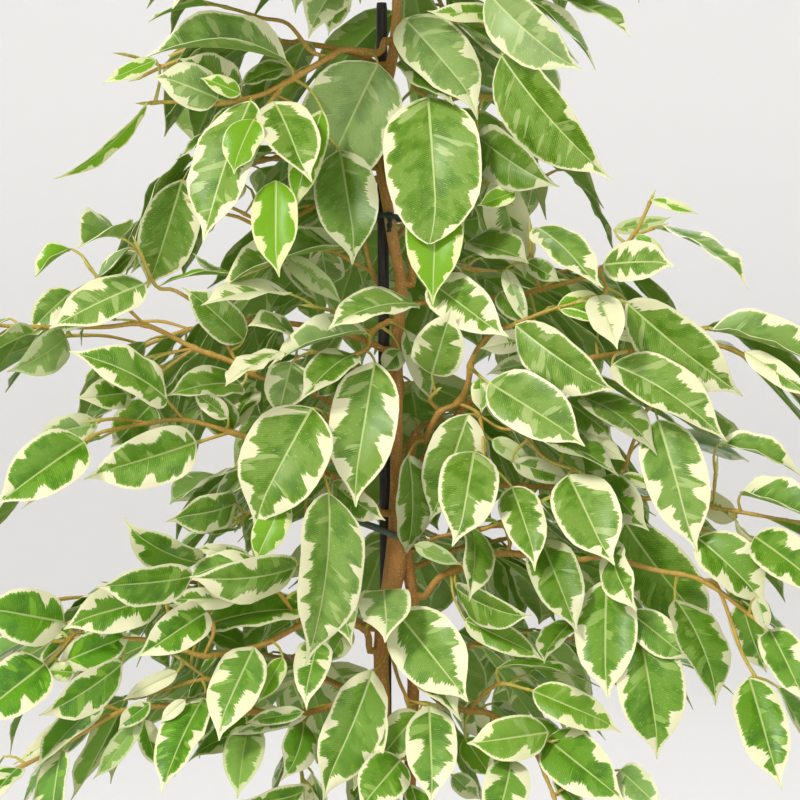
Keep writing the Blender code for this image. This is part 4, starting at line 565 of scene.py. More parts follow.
# %% A branch and its twigs
class Branch:
    """Lines of points with radii in mm: the branch's own line first, then its twigs."""
    def __init__(self, name, label, down, thick, thin, line, twigs):
        start, way = seat_on(label, down, line[0], thick)
        self.name = name
        self.stem = "stem_" + label
        main = [start, start + way * BARK_STEP * MM] + line
        self.lines = [(main, self.taper(main, thick, thin))]
        for twig in twigs:
            self.add_twig(twig)
        self.leaves = []

    def taper(self, line, thick, thin):
        """Radii that run evenly from thick to thin along the line."""
        lengths = [0.0]
        for first, second in zip(line, line[1:]):
            lengths.append(lengths[-1] + (second - first).length)
        return [thick + (thin - thick) * run / lengths[-1] for run in lengths]

    def nearest(self, spot):
        """Distance, point and radius where the branch's wood is nearest to a spot."""
        best = (1.0, None, 0.9)
        for line, radii in self.lines:
            for index in range(len(line) - 1):
                if line is self.lines[0][0] and index < 1:
                    continue
                first, second = line[index], line[index + 1]
                run = second - first
                part = min(1.0, max(0.0, (spot - first).dot(run) / run.length_squared))
                on = first + run * part
                far = (spot - on).length
                if far < best[0]:
                    best = (far, on, radii[index])
        return best

    def add_twig(self, points, thick=None, thin=0.9):
        on = self.nearest(points[0])
        line = [on[1]] + points[1:]
        thick = thick or max(0.9, min(1.3, on[2] * 0.85))
        radii = self.taper(line, thick, thin)
        radii[0] = min(radii[0], on[2] * 0.55)
        self.lines.append((line, radii))


branches = []


def try_branch(name, label, down, thick, thin, line, twigs):
    """Grows the branch's wood if it is clear of everything that is placed, and keeps it."""
    branch = Branch(name, label, down, thick, thin, line, twigs)
    skins = [skin(points, radii, 6, WOOD_SPARE) for points, radii in branch.lines]
    for number, (corners, faces) in enumerate(skins):
        if placed.meets(corners, faces, allow=(branch.stem,) if number == 0 else ()):
            return None
    # The first line may touch only its own stem, and only where it is seated.
    corners, faces = skin(branch.lines[0][0][1:], branch.lines[0][1][1:], 6, 0.2)
    if any(hit[0] == branch.stem for hit in placed.meets(corners, faces)):
        return None
    for corners, faces in skins:
        placed.add(name, "wood", corners, faces)
    branches.append(branch)
    return branch


for name, (label, down, thick, thin, line, twigs) in BRANCHES.items():
    try_branch(name, label, down, thick, thin, [seen_at(*row) for row in line],
               [[seen_at(*row) for row in twig] for twig in twigs])
print("branches grown:", len(branches))

# %% A leaf as a plain description
class Leaf:
    """One blade with its petiole. Widths and lengths in metres, angles in radians."""
    def __init__(self, base, tip, half, facing, turn, fold, arch, tone, hero):
        self.base, self.tip, self.half = base, tip, half
        self.fold, self.arch, self.tone, self.hero = fold, arch, tone, hero
        run = tip - base
        self.length = run.length
        self.way = run.normalized()
        flat = facing - self.way * facing.dot(self.way)
        if flat.length < 1e-4:
            flat = Vector((0, 0, 1)).cross(self.way).cross(self.way)
        flat.normalize()
        side = self.way.cross(flat)
        self.up = flat * math.cos(turn) + side * math.sin(turn)
        self.side = self.way.cross(self.up)
        self.root = None

    def mid(self, part):
        return self.base + self.way * self.length * part + self.up * self.arch * 4 * part * (1 - part)

    def edge(self, part, hand, extra=0.0):
        reach = self.half * blade_width(part) + extra
        return self.mid(part) + self.side * hand * reach * math.cos(self.fold) \
            + self.up * reach * math.sin(self.fold)

    def solid(self, stations, grow=0.0):
        """Corners and triangles of the closed blade and petiole, split alike on both faces."""
        thick = (LEAF_THICK / 2 + grow) * MM
        corners = []
        faces = []
        stalk = (self.base - self.root).normalized()
        bend = (stalk + self.way).normalized()
        lift = (self.up - bend * self.up.dot(bend)).normalized()
        across = bend.cross(lift)
        squeeze = 1 / max(0.6, bend.dot(stalk))
        for centre, size in ((self.root, ROOT_RADIUS), (self.base, PETIOLE_RADIUS)):
            size = (size * squeeze + grow) * MM
            corners += [centre + lift * size, centre - lift * size * 0.6 + across * size * 0.85,
                        centre - lift * size * 0.6 - across * size * 0.85]
        faces += [(0, 2, 1), (0, 1, 4, 3), (1, 2, 5, 4), (2, 0, 3, 5)]
        # The petiole's ring is left, right as seen along it; blades have top, right, under, left.
        for part in stations:
            middle = self.mid(part)
            level = thick * (1.0 if part < 0.6 else 0.8)
            corners += [middle + self.up * level, self.edge(part, 1, grow * MM),
                        middle - self.up * level, self.edge(part, -1, grow * MM)]
        ring = 6
        faces += [(3, 4, ring + 1), (3, ring + 1, ring), (3, ring, ring + 3), (3, ring + 3, 5),
                  (4, ring + 2, ring + 1), (4, 5, ring + 2), (5, ring + 3, ring + 2)]
        for step in range(len(stations) - 1):
            low, nxt = ring + step * 4, ring + step * 4 + 4
            for a, b in ((0, 1), (1, 2), (2, 3), (3, 0)):
                if a in (0, 2):
                    faces += [(low + a, low + b, nxt + b), (low + a, nxt + b, nxt + a)]
                else:
                    faces += [(low + a, low + b, nxt + a), (low + b, nxt + b, nxt + a)]
        last = ring + (len(stations) - 1) * 4
        end = len(corners)
        corners.append(self.tip + self.way * grow * MM)
        faces += [(last, last + 1, end), (last + 1, last + 2, end), (last + 2, last + 3, end),
                  (last + 3, last, end)]
        return corners, faces


def blade_width(part):
    """Half width of a fig leaf along its midrib, 1 at the widest, with a drawn-out tip."""
    if part <= 0 or part >= 1:
        return 0.0
    body = math.sin(math.pi * min(part / 0.9, 1.0) ** 0.86) ** 0.62 if part < 0.9 else 0.0
    return max(body, 0.30 * (1 - part) / 0.2 if part > 0.8 else 0.0)


HERO_STATIONS = (0.16, 0.47, 0.78)
FILL_STATIONS = (0.27, 0.70)
BROAD_HALF = 14.5       # mm, a broader leaf gets one more station


def stations_of(leaf):
    return HERO_STATIONS if leaf.hero and leaf.half > BROAD_HALF * MM else FILL_STATIONS


print("half width near the tip:", round(blade_width(0.9), 2))

# %% [markdown]
# ## Placing the leaves that the photo shows
#
# A leaf whose seen length is short leans towards or away from the viewer, and one that looks narrow
# is turned. If its place is taken, it slides a little nearer or further along the line of sight,
# which keeps it where it is seen.

# %% A leaf from its row
USUAL_LONG = 66.0       # mm, a full-grown leaf is at least this long
USUAL_HALF = 0.235      # half width as a share of the length
NARROW = 26             # a leaf seen narrower, in picture points, may be a short one
MOST_LEAN = 34.0        # mm that a tip may lie nearer than its base


def photo_leaf(row, nudge, lean_part, rng):
    """A leaf read from the photo, at a depth nudge in mm and with part of its lean."""
    x0, y0, x1, y1, width, depth, tone, pose = row
    depth += nudge
    scale = PX_MM * (CAMERA_DISTANCE - depth) / CAMERA_DISTANCE
    seen_long = math.hypot(x1 - x0, y1 - y0) * scale
    small = tone in "lyb" or width < NARROW
    full = max(seen_long * 1.04, 0.0 if small else USUAL_LONG)
    lean = min(math.sqrt(full * full - seen_long * seen_long), MOST_LEAN) * lean_part
    if "-" in pose:
        lean = -lean
    base = seen_at(x0, y0, depth)
    tip = seen_at(x1, y1, depth + lean)
    half = width * scale / 2
    usual = USUAL_HALF * (tip - base).length / MM
    turn = 0.0
    fold = math.radians(rng.uniform(6, 20))
    if "e" in pose:
        turn = math.radians(74) * rng.choice((-1, 1))
        half = max(min(usual, 2.2 * half), half)
    elif "R" in pose or "L" in pose:
        fold = math.radians(44)
        turn = fold * (0.92 if "R" in pose else -0.92)
        half = width * scale
    else:
        if half < usual * 0.9 and not small:
            turn = math.acos(max(0.30, half / usual))
            half = usual
        if "r" in pose or "l" in pose:
            turn = max(turn, 0.3)
        turn *= (1 if "r" in pose else -1 if "l" in pose else rng.choice((-1, 1)))
    arch = rng.uniform(0.03, 0.10) * (tip - base).length
    return Leaf(base, tip, half * MM, Vector((0.0, -1.0, 0.12)), turn, fold, arch, tone, True)


print("the first leaf is", round(photo_leaf(PHOTO_LEAVES[0], 0, 1, random.Random(0)).length / MM), "mm long")

# %% Every photo leaf in a free place
def leaf_hits(leaf, allow):
    corners, faces = leaf.solid(stations_of(leaf), LEAF_SPARE)
    return placed.meets(corners, faces, allow)


def keep(leaf, branch):
    """Adds the leaf to its branch, and its place to what is taken."""
    branch.leaves.append(leaf)
    placed.add(branch.name, "leaf", *leaf.solid(stations_of(leaf), LEAF_SPARE))


def settle(leaf, branch, may_touch=False):
    """Roots the leaf on its branch and keeps it if it is clear of everything else."""
    far, on = branch.nearest(leaf.base)[:2]
    if far < SHORTEST_PETIOLE * MM or far > LONGEST_PETIOLE * MM:
        return False
    leaf.root = on
    if (leaf.base - on).normalized().dot(leaf.way) < FOLDED_BACK:
        return False
    if leaf_hits(leaf, ((branch.name, "wood"), branch.name) if may_touch else ((branch.name, "wood"),)):
        return False
    keep(leaf, branch)
    return True


def near_branches(spot, count):
    return sorted(branches, key=lambda branch: branch.nearest(spot)[0])[:count]


FAR_LEAF = 20.0         # mm, a leaf farther from all wood may get a twig of its own
TWIG_STOP = 15.0        # mm, such a twig ends this far from its leaf


def reach_out(branch, spot):
    """A new twig from the branch towards a leaf that would have too long a petiole."""
    on, radius = branch.nearest(spot)[1:]
    run = spot - on
    end = on + run * max(0.0, 1 - TWIG_STOP * MM / run.length)
    bend = on + (end - on) * 0.5 + Vector((0, 0, 1)) * 0.08 * run.length
    points, radii = [on, bend, end], [radius * 0.55, 1.0, 0.9]
    corners, faces = skin(points, radii, 6, WOOD_SPARE)
    if placed.meets(corners, faces, ((branch.name, "wood"),)):
        return False
    branch.lines.append((points, radii))
    placed.add(branch.name, "wood", corners, faces)
    return True


def settle_on_new_twig(leaf, branch):
    """Grows a twig towards a leaf that hangs far from the branch; takes it back if the leaf won't fit."""
    lines, items = len(branch.lines), len(placed.items)
    if branch.nearest(leaf.base)[0] <= FAR_LEAF * MM or not reach_out(branch, leaf.base):
        return False
    if settle(leaf, branch, True):
        return True
    del branch.lines[lines:]
    del placed.items[items:]
    return False


NUDGES = (0, 5, -5, 10, -10, 16, -16, 24, -24, 33, -33)     # mm nearer or farther, in order of trial
LEANS = (1.0, 0.4, -0.5)    # share of the full lean towards the camera, in order of trial


def place(number, row):
    """Sets a photo leaf where it is free: leaves of one branch may touch only if nothing else is."""
    for may_touch in (False, True):
        for nudge in NUDGES:
            for lean_part in LEANS:
                leaf = photo_leaf(row, nudge, lean_part, random.Random(number))
                if any(settle(leaf, branch, may_touch) for branch in near_branches(leaf.base, 3)):
                    return
    for nudge in NUDGES:
        leaf = photo_leaf(row, nudge, 0.8, random.Random(number))
        if any(settle_on_new_twig(leaf, branch) for branch in near_branches(leaf.base, 4)):
            return


for number, row in enumerate(PHOTO_LEAVES):
    place(number, row)
print("photo leaves placed:", sum(len(branch.leaves) for branch in branches))

# %% [markdown]
# ## The rest of the plant
#
# A plant has leaves on all sides. Branches at the back and round the top are grown by rule: they
# rise, arch over and carry twigs left and right. Then leaves fill every twig from its end inwards,
# except where they would close a view that has to stay open or hide a leaf from the rows.

# %% Views that stay open
SEEN_EDGE = 2 * PHOTO_MIDDLE    # picture points across the photo


def over_wall(spots):
    """True where a point seen inside the photo would cover a place where the wall shows."""
    for spot in spots:
        across, down = in_photo(spot)[:2]
        if not (-4 < across < SEEN_EDGE + 4 and -4 < down < SEEN_EDGE + 4):
            continue
        for middle, low, radius in OPEN_PLACES:
            if (across - middle) ** 2 + (down - low) ** 2 < radius * radius:
                return True
    return False


RIM_PARTS = (0.15, 0.3, 0.5, 0.7, 0.85)
PHOTO_SHAPES = []
for branch in branches:
    for leaf in branch.leaves:
        ring = [leaf.base] + [leaf.edge(part, 1) for part in RIM_PARTS] + [leaf.tip]
        ring += [leaf.edge(part, -1) for part in reversed(RIM_PARTS)]
        seen = [in_photo(spot) for spot in ring]
        PHOTO_SHAPES.append((seen, min(s[0] for s in seen), max(s[0] for s in seen),
                             min(s[1] for s in seen), max(s[1] for s in seen),
                             min(s[2] for s in seen)))


def hides_leaf(spots):
    """True where a point seen inside the photo stands in front of a leaf read from it."""
    for spot in spots:
        across, down, towards = in_photo(spot)
        if not (0 < across < SEEN_EDGE and 0 < down < SEEN_EDGE):
            continue
        for seen, left, right, top, low, nearest in PHOTO_SHAPES:
            if towards < nearest or not (left < across < right and top < down < low):
                continue
            inside = False
            for first, second in zip(seen, seen[1:] + seen[:1]):
                if (first[1] > down) != (second[1] > down):
                    part = (down - first[1]) / (second[1] - first[1])
                    if across < first[0] + (second[0] - first[0]) * part:
                        inside = not inside
            if inside:
                return True
    return False


print("leaves that nothing may hide:", len(PHOTO_SHAPES))

# %% Branches at the back and round the top
# Branches that the photo doesn't show, at the back and round the top above its upper edge: the kind,
# its stem, where it leaves it (picture points down), the turn it first tries (degrees), how far it
# goes (mm) and its radius (mm).
UNSEEN = [
    ("back_a", "main", 705, 118, 165, 1.9), ("back_b", "second", 672, 48, 175, 1.9),
    ("back_c", "main", 628, 158, 185, 1.9), ("back_d", "second", 560, 80, 190, 1.9),
    ("back_e", "main", 505, 130, 195, 1.9), ("back_f", "second", 458, 30, 185, 1.9),
    ("back_g", "main", 405, 100, 190, 1.9), ("back_h", "main", 352, 170, 175, 1.9),
    ("back_i", "main", 292, 55, 175, 1.9), ("back_j", "main", 236, 128, 160, 1.9),
    ("back_k", "main", 172, 82, 150, 1.9), ("back_l", "main", 118, 22, 150, 1.9),
    ("back_m", "main", 66, 148, 145, 1.9),
    ("crown_a", "main", -8, 75, 130, 1.6), ("crown_b", "main", -52, 205, 118, 1.54),
    ("crown_c", "main", -92, 330, 112, 1.48), ("crown_d", "main", -132, 110, 100, 1.42),
    ("crown_e", "main", -170, 245, 88, 1.36), ("crown_f", "main", -205, 15, 76, 1.3),
    ("crown_g", "main", -240, 150, 62, 1.24), ("crown_h", "main", -272, 285, 48, 1.18),
    ("top_shoot", "main", -312, 60, 52, 1.12)]


def grown_line(start, angle, reach, rng, upright=False):
    """A side branch that rises as it leaves the stem and then arches over."""
    way = Vector((math.cos(angle), math.sin(angle), 0))
    side = Vector((-way.y, way.x, 0))
    if upright:
        return [start + way * reach * 0.3 * part ** 0.5 + Vector((0, 0, reach * part))
                for part in (0.1, 0.45, 1.0)], way, side
    sway = rng.uniform(-0.12, 0.12)
    rise = rng.uniform(0.26, 0.42)
    points = []
    for part in (0.12, 0.3, 0.5, 0.7, 0.87, 1.0):
        points.append(start + way * reach * part + side * reach * sway * math.sin(part * 5)
                      + Vector((0, 0, reach * (rise * part - 0.40 * part ** 2.2))))
    return points, way, side


MOST_TRIES = 60
OPEN_TRIES = 40         # after so many tries an open view may be crossed


def unseen_branch(number, kind, label, down, turn, reach, thick):
    """Tries turns and heights, each time farther from the first, until the branch is free."""
    for attempt in range(MOST_TRIES):
        rng = random.Random(1000 * number + attempt)
        spread = 4 + attempt * 1.1
        angle = math.radians(turn + rng.uniform(-spread, spread))
        level = down + rng.uniform(-0.25, 0.25) * min(attempt, 30)
        start = seen_at(*along_line(STEMS[label], level)[:3])
        points, way, side = grown_line(start, angle, reach * MM * rng.uniform(0.92, 1.06), rng,
                                       kind == "top_shoot")
        twigs = []
        for part, hand in ((2, 1), (3, -1), (4, 1)) if kind != "top_shoot" else ():
            out = (way * rng.uniform(0.7, 1.0) + side * hand * rng.uniform(0.5, 0.9)
                   + Vector((0, 0, rng.uniform(-0.1, 0.25)))).normalized()
            long = reach * MM * rng.uniform(0.26, 0.36)
            if kind.startswith("crown") and part == 4:
                continue
            twigs.append([points[part], points[part] + out * long * 0.5,
                          points[part] + out * long + Vector((0, 0, -0.10 * long))])
        if attempt < OPEN_TRIES and over_wall(points[2:] + [spot for twig in twigs for spot in twig]):
            continue
        thinnest = min(thick, along_line(STEMS[label], level)[3] * 0.8)
        if try_branch("branch_" + kind, label, level, thinnest, 0.95, points, twigs):
            return


for number, row in enumerate(UNSEEN):
    unseen_branch(number, *row)
print("branches grown:", len(branches))

# %% A leaf placed by rule
BARE_BRANCH = 26.0      # mm of a branch's start without leaves
BARE_TWIG = 9.0         # mm of a twig's start without leaves
LEAF_STEP = 13.0        # mm from one leaf to the next on the other side


def filler_leaf(on, way, hand, rng, tip_leaf=False):
    """A leaf placed by rule: its petiole stands off the twig and the blade hangs outward."""
    side = way.cross(Vector((0, 0, 1)))
    if side.length < 0.1:
        side = Vector((1, 0, 0))
    side.normalize()
    outward = Vector((on.x, on.y, 0))
    outward = outward.normalized() if outward.length > 0.02 else way.copy()
    stalk = (way * rng.uniform(0.3, 0.8) + side * hand * rng.uniform(0.5, 1.0)
             + Vector((0, 0, rng.uniform(-0.3, 0.5)))).normalized()
    base = on + stalk * rng.uniform(9, 15) * MM
    if tip_leaf:
        base = on + (way + Vector((0, 0, -0.2))).normalized() * 9 * MM
    run = (way * rng.uniform(0.1, 0.6) + side * hand * rng.uniform(0.1, 0.8)
           + outward * rng.uniform(0.0, 0.45) + Vector((0, 0, -rng.uniform(0.25, 1.25)))).normalized()
    if tip_leaf:
        run = (way + outward * 0.3 + Vector((0, 0, -rng.uniform(0.2, 0.7)))).normalized()
    long = rng.uniform(54, 72) * MM
    half = long * rng.uniform(0.205, 0.245)
    facing = (outward * rng.uniform(0.2, 0.9) + Vector((0, 0, rng.uniform(0.4, 1.0)))
              + side * hand * rng.uniform(-0.2, 0.5))
    leaf = Leaf(base, base + run * long, half, facing, rng.uniform(-0.35, 0.35),
                math.radians(rng.uniform(5, 22)), rng.uniform(-0.02, 0.09) * long, "g", False)
    leaf.root = on
    return leaf


def filler_sites():
    """Places along every twig, about one leaf pair apart, ends first."""
    sites = []
    for branch in branches:
        for number, (line, _) in enumerate(branch.lines):
            total = sum((b - a).length for a, b in zip(line, line[1:]))
            run = total
            hand = 1
            skip = (BARE_TWIG if number else BARE_BRANCH) * MM
            while run > skip:
                walked = 0.0
                for index in range(len(line) - 1):
                    step = (line[index + 1] - line[index]).length
                    if walked + step >= run - 1e-9:
                        break
                    walked += step
                way = (line[index + 1] - line[index]).normalized()
                on = line[index] + way * min(run - walked, step)
                sites.append((branch, on, way, hand, run > total - 1e-6))
                hand = -hand
                run -= LEAF_STEP * MM
    return sites


def has_room(leaf, branch):
    """True for a leaf off the pot and the bare wall that hides no photo leaf and meets nothing."""
    spots = [leaf.base, leaf.tip, leaf.mid(0.5)]
    spots += [leaf.edge(part, hand) for part in (0.25, 0.5, 0.75) for hand in (1, -1)]
    if min(spot.z for spot in spots) < LOWEST_LEAF * MM or over_wall(spots) or hides_leaf(spots):
        return False
    return not leaf_hits(leaf, ((branch.name, "wood"),))


print("places for leaves:", len(filler_sites()))

# %% [markdown]
# ## Filling the twigs with leaves
#
# The solid model stops after its share of these leaves. The same draws go on here until the plant
# is as dense as the photo shows it, and then small fresh leaves and pointed buds end the twigs.

# %% Leaves along every twig
ALL_FILLERS = 430       # leaves of the first round
SECOND_LOOKS = 7        # more draws at every place, where there is still room


def fits(leaf, branch):
    """True for a leaf that has room and passes the solid model's box by 1 mm at the most."""
    low, high = cad_box
    spots = (leaf.base, leaf.tip, leaf.mid(0.5), leaf.edge(0.5, 1), leaf.edge(0.5, -1))
    inside = all(low[axis] - MM < spot[axis] < high[axis] + MM for spot in spots for axis in range(3))
    return inside and has_room(leaf, branch)


sites = filler_sites()
random.Random(7).shuffle(sites)
sites.sort(key=lambda site: not site[4])
fillers = 0
for number, (branch, on, way, hand, last) in enumerate(sites):
    if fillers >= ALL_FILLERS:
        break
    for attempt in range(3):
        rng = random.Random(50000 + number * 10 + attempt)
        leaf = filler_leaf(on, way, hand, rng, last and attempt == 0)
        if fits(leaf, branch):
            keep(leaf, branch)
            fillers += 1
            break
for number, (branch, on, way, hand, last) in enumerate(sites):
    for attempt in range(SECOND_LOOKS):
        rng = random.Random(70000 + number * 20 + attempt)
        leaf = filler_leaf(on + way * rng.uniform(-5, 5) * MM, way, hand if attempt % 2 else -hand, rng)
        if fits(leaf, branch):
            keep(leaf, branch)
            fillers += 1
            break
print("leaves by rule:", fillers)

# %% Small fresh leaves at the ends of the twigs
YOUNG_LENGTH = (20, 40)     # mm
young = 0
for number, (branch, on, way, hand, last) in enumerate(sites):
    if not last:
        continue
    for turn in (0, 1, 2):
        rng = random.Random(90000 + number * 10 + turn)
        leaf = filler_leaf(on - way * turn * 6 * MM, way, hand if turn % 2 else -hand, rng)
        long = rng.uniform(*YOUNG_LENGTH) * MM
        base = on + (leaf.base - on) * 0.5
        small = Leaf(base, base + leaf.way * long, long * rng.uniform(0.15, 0.21), leaf.up, 0.0,
                     math.radians(rng.uniform(10, 30)), 0.05 * long, "l", False)
        small.root = leaf.root
        if fits(small, branch):
            keep(small, branch)
            young += 1
print("fresh leaves:", young, "all leaves:", sum(len(branch.leaves) for branch in branches))

# %% [markdown]
# ## Round wood
#
# Twigs and stems are round bars that bend softly, so each course is smoothed through its points
# before a ring of corners is set along it. Wood is never an even bar: it swells a little where a
# petiole or a twig leaves it, so every ring can be widened on its own.

# %% Smooth courses
def smooth_point(a, b, c, d, t):
    """The point at share t of the smooth way from b to c, with neighbours a and d."""
    return (b + (c - a) * 0.5 * t + (a * 2 - b * 5 + c * 4 - d) * 0.5 * t * t
            + (b * 3 - a - c * 3 + d) * 0.5 * t ** 3)


def smooth_course(points, radii, step=3.0):
    """The course through the points as a smooth curve, about one point every few mm."""
    ends = [points[0] * 2 - points[1]] + list(points) + [points[-1] * 2 - points[-2]]
    course, sizes = [], []
    for index in range(len(points) - 1):
        a, b, c, d = ends[index:index + 4]
        count = max(1, round((c - b).length / MM / step))
        for number in range(count):
            t = number / count
            course.append(smooth_point(a, b, c, d, t))
            sizes.append(radii[index] + (radii[index + 1] - radii[index]) * t)
    return course + [points[-1]], sizes + [radii[-1]]


print("a 3 mm course has", len(smooth_course([Vector((0, 0, 0)), Vector((0, 0, 0.1))], [1, 1])[0]), "points")

# %% Meshes and round bars
class Mesh:
    """Corners, faces and what the finishes need to know about each corner."""
    def __init__(self):
        self.corners, self.faces, self.finish = [], [], []
        self.place, self.draw, self.tone, self.age = [], [], [], []

    def add(self, corners, faces, finish, place=None, draw=None, tone=None, age=0.0):
        start = sum(len(c) for c in self.corners)
        count = len(corners)
        self.corners.append(np.asarray(corners, dtype=float))
        self.faces += [tuple(start + k for k in face) for face in faces]
        self.finish += [finish] * len(faces)
        self.place.append(np.zeros((count, 4)) if place is None else place)
        self.draw.append(np.zeros((count, 3)) if draw is None else draw)
        self.tone.append(np.zeros((count, 4)) if tone is None else tone)
        self.age.append(np.full(count, age) if np.isscalar(age) else np.asarray(age, dtype=float))

    def build(self, name, finishes, crease=48):
        mesh = bpy.data.meshes.new(name)
        mesh.from_pydata(np.concatenate(self.corners).tolist(), [], self.faces)
        mesh.update()
        for kind, key, label, values in (
                ("FLOAT_COLOR", "color", "place_mm", self.place),
                ("FLOAT_VECTOR", "vector", "draw", self.draw),
                ("FLOAT_COLOR", "color", "tone", self.tone),
                ("FLOAT", "value", "age", self.age)):
            layer = mesh.attributes.new(label, kind, "POINT")
            layer.data.foreach_set(key, np.concatenate(values).astype(np.float32).ravel())
        for finish in finishes:
            mesh.materials.append(finish)
        mesh.polygons.foreach_set("material_index", self.finish)
        mesh.polygons.foreach_set("use_smooth", [True] * len(mesh.polygons))
        mesh.set_sharp_from_angle(angle=math.radians(crease))
        made = bpy.data.objects.new(name, mesh)
        bpy.context.scene.collection.objects.link(made)
        return made


def bar(course, sizes, sides=8, closed=False):
    """Corners and faces of a round bar along points in metres; sizes are its radii in mm."""
    spots = np.array([tuple(p) for p in course])
    if closed:
        run = np.roll(spots, -1, 0) - np.roll(spots, 1, 0)
    else:
        run = np.gradient(spots, axis=0)
    run /= np.linalg.norm(run, axis=1)[:, None]
    # The first side direction is square to a slanted line, and each later one turns as little as it can.
    side = np.cross(run[0], (0.12, 0.31, 0.94))
    side /= np.linalg.norm(side)
    sides_of = []
    for way in run:
        side = side - way * side.dot(way)
        side = side / np.linalg.norm(side)
        sides_of.append(side)
    sides_of = np.array(sides_of)
    ups = np.cross(sides_of, run)
    angles = np.linspace(0, 2 * math.pi, sides, endpoint=False)
    reach = np.asarray(sizes, dtype=float)[:, None, None] * MM
    corners = spots[:, None, :] + reach * (np.cos(angles)[None, :, None] * sides_of[:, None, :]
                                           + np.sin(angles)[None, :, None] * ups[:, None, :])
    count = len(spots)
    faces = []
    for ring in range(count if closed else count - 1):
        for step in range(sides):
            nxt = (step + 1) % sides
            above = (ring + 1) % count
            faces.append((ring * sides + step, above * sides + step, above * sides + nxt, ring * sides + nxt))
    if not closed:
        faces.append(tuple(range(sides)))
        faces.append(tuple(reversed(range((count - 1) * sides, count * sides))))
    return corners.reshape(-1, 3), faces


print("faces of a short bar:", len(bar([(0, 0, 0), (0, 0, 1), (0, 0, 2)], [1, 1, 1])[1]))

# %% [markdown]
# ## One blade
#
# A fig leaf is oval with its widest part near the middle and a drip tip drawn out thin. The halves
# lift from the midrib and then bend down again to their edges, the edges wave, and the tip hooks
# to one side. The blade is a grid of such points, laid out once for the top and once for the
# underside, and closed by a narrow rim. Each corner also keeps where it lies on the leaf in mm, so
# that veins and edges can be drawn at their real size.

# %% The grid and the outline of a blade
ALONG = np.array([0, 0.03, 0.08, 0.15, 0.24, 0.34, 0.44, 0.54, 0.64, 0.73, 0.81, 0.88, 0.93, 0.97, 1.0])
ACROSS = np.array([-1, -0.82, -0.58, -0.3, -0.06, 0, 0.06, 0.3, 0.58, 0.82, 1])
# Half width at each of those places along the leaf, as a share of the widest.
OUTLINE = np.array([0.04, 0.29, 0.56, 0.79, 0.94, 0.99, 1.0, 0.98, 0.91, 0.76, 0.52, 0.25, 0.11, 0.055, 0.02])
FULL_OUTLINE = np.array([0.04, 0.33, 0.61, 0.83, 0.95, 0.99, 1.0, 0.99, 0.96, 0.89, 0.77, 0.60, 0.44, 0.26,
                         0.05])
BLADE_THICK = 0.4       # mm
FULL_HALF = 24.0        # mm, the oldest and broadest leaves end rounder
ROWS, COLUMNS = len(ALONG), len(ACROSS)


def sheet_faces():
    """Faces of the top, the underside and the rim between them."""
    faces = []
    under = ROWS * COLUMNS
    for i in range(ROWS - 1):
        for j in range(COLUMNS - 1):
            a = i * COLUMNS + j
            faces.append((a, a + 1, a + COLUMNS + 1, a + COLUMNS))
            faces.append((under + a, under + a + COLUMNS, under + a + COLUMNS + 1, under + a + 1))
    last_row = (ROWS - 1) * COLUMNS
    rim = list(range(COLUMNS))
    rim += [i * COLUMNS + COLUMNS - 1 for i in range(1, ROWS)]
    rim += [last_row + j for j in range(COLUMNS - 2, -1, -1)]
    rim += [i * COLUMNS for i in range(ROWS - 2, 0, -1)]
    for a, b in zip(rim, rim[1:] + rim[:1]):
        faces.append((a, under + a, under + b, b))
    return faces


BLADE_FACES = sheet_faces()
print("faces of a blade:", len(BLADE_FACES))

# %% The curved sheet of a blade
# The shade share paints shade, and below zero it paints light; a lime share below zero paints a deeper green
# in the lowest and outermost leaves, and the lime tones also paint the glow of light through a leaf.
TONES = {       # shares of: cream, fresh lime, shade, withered
    "g": (1.0, 0.0, 0.0, 0.0), "d": (0.75, 0.0, 0.6, 0.0), "p": (1.0, 0.0, -0.5, 0.0),
    "y": (0.7, 0.5, 0.0, 0.0), "l": (0.5, 1.0, 0.1, 0.0), "c": (3.6, 0.0, -0.1, 0.0),
    "o": (0.9, 0.15, -0.2, 0.0), "b": (0.5, 0.0, 0.0, 1.0)}


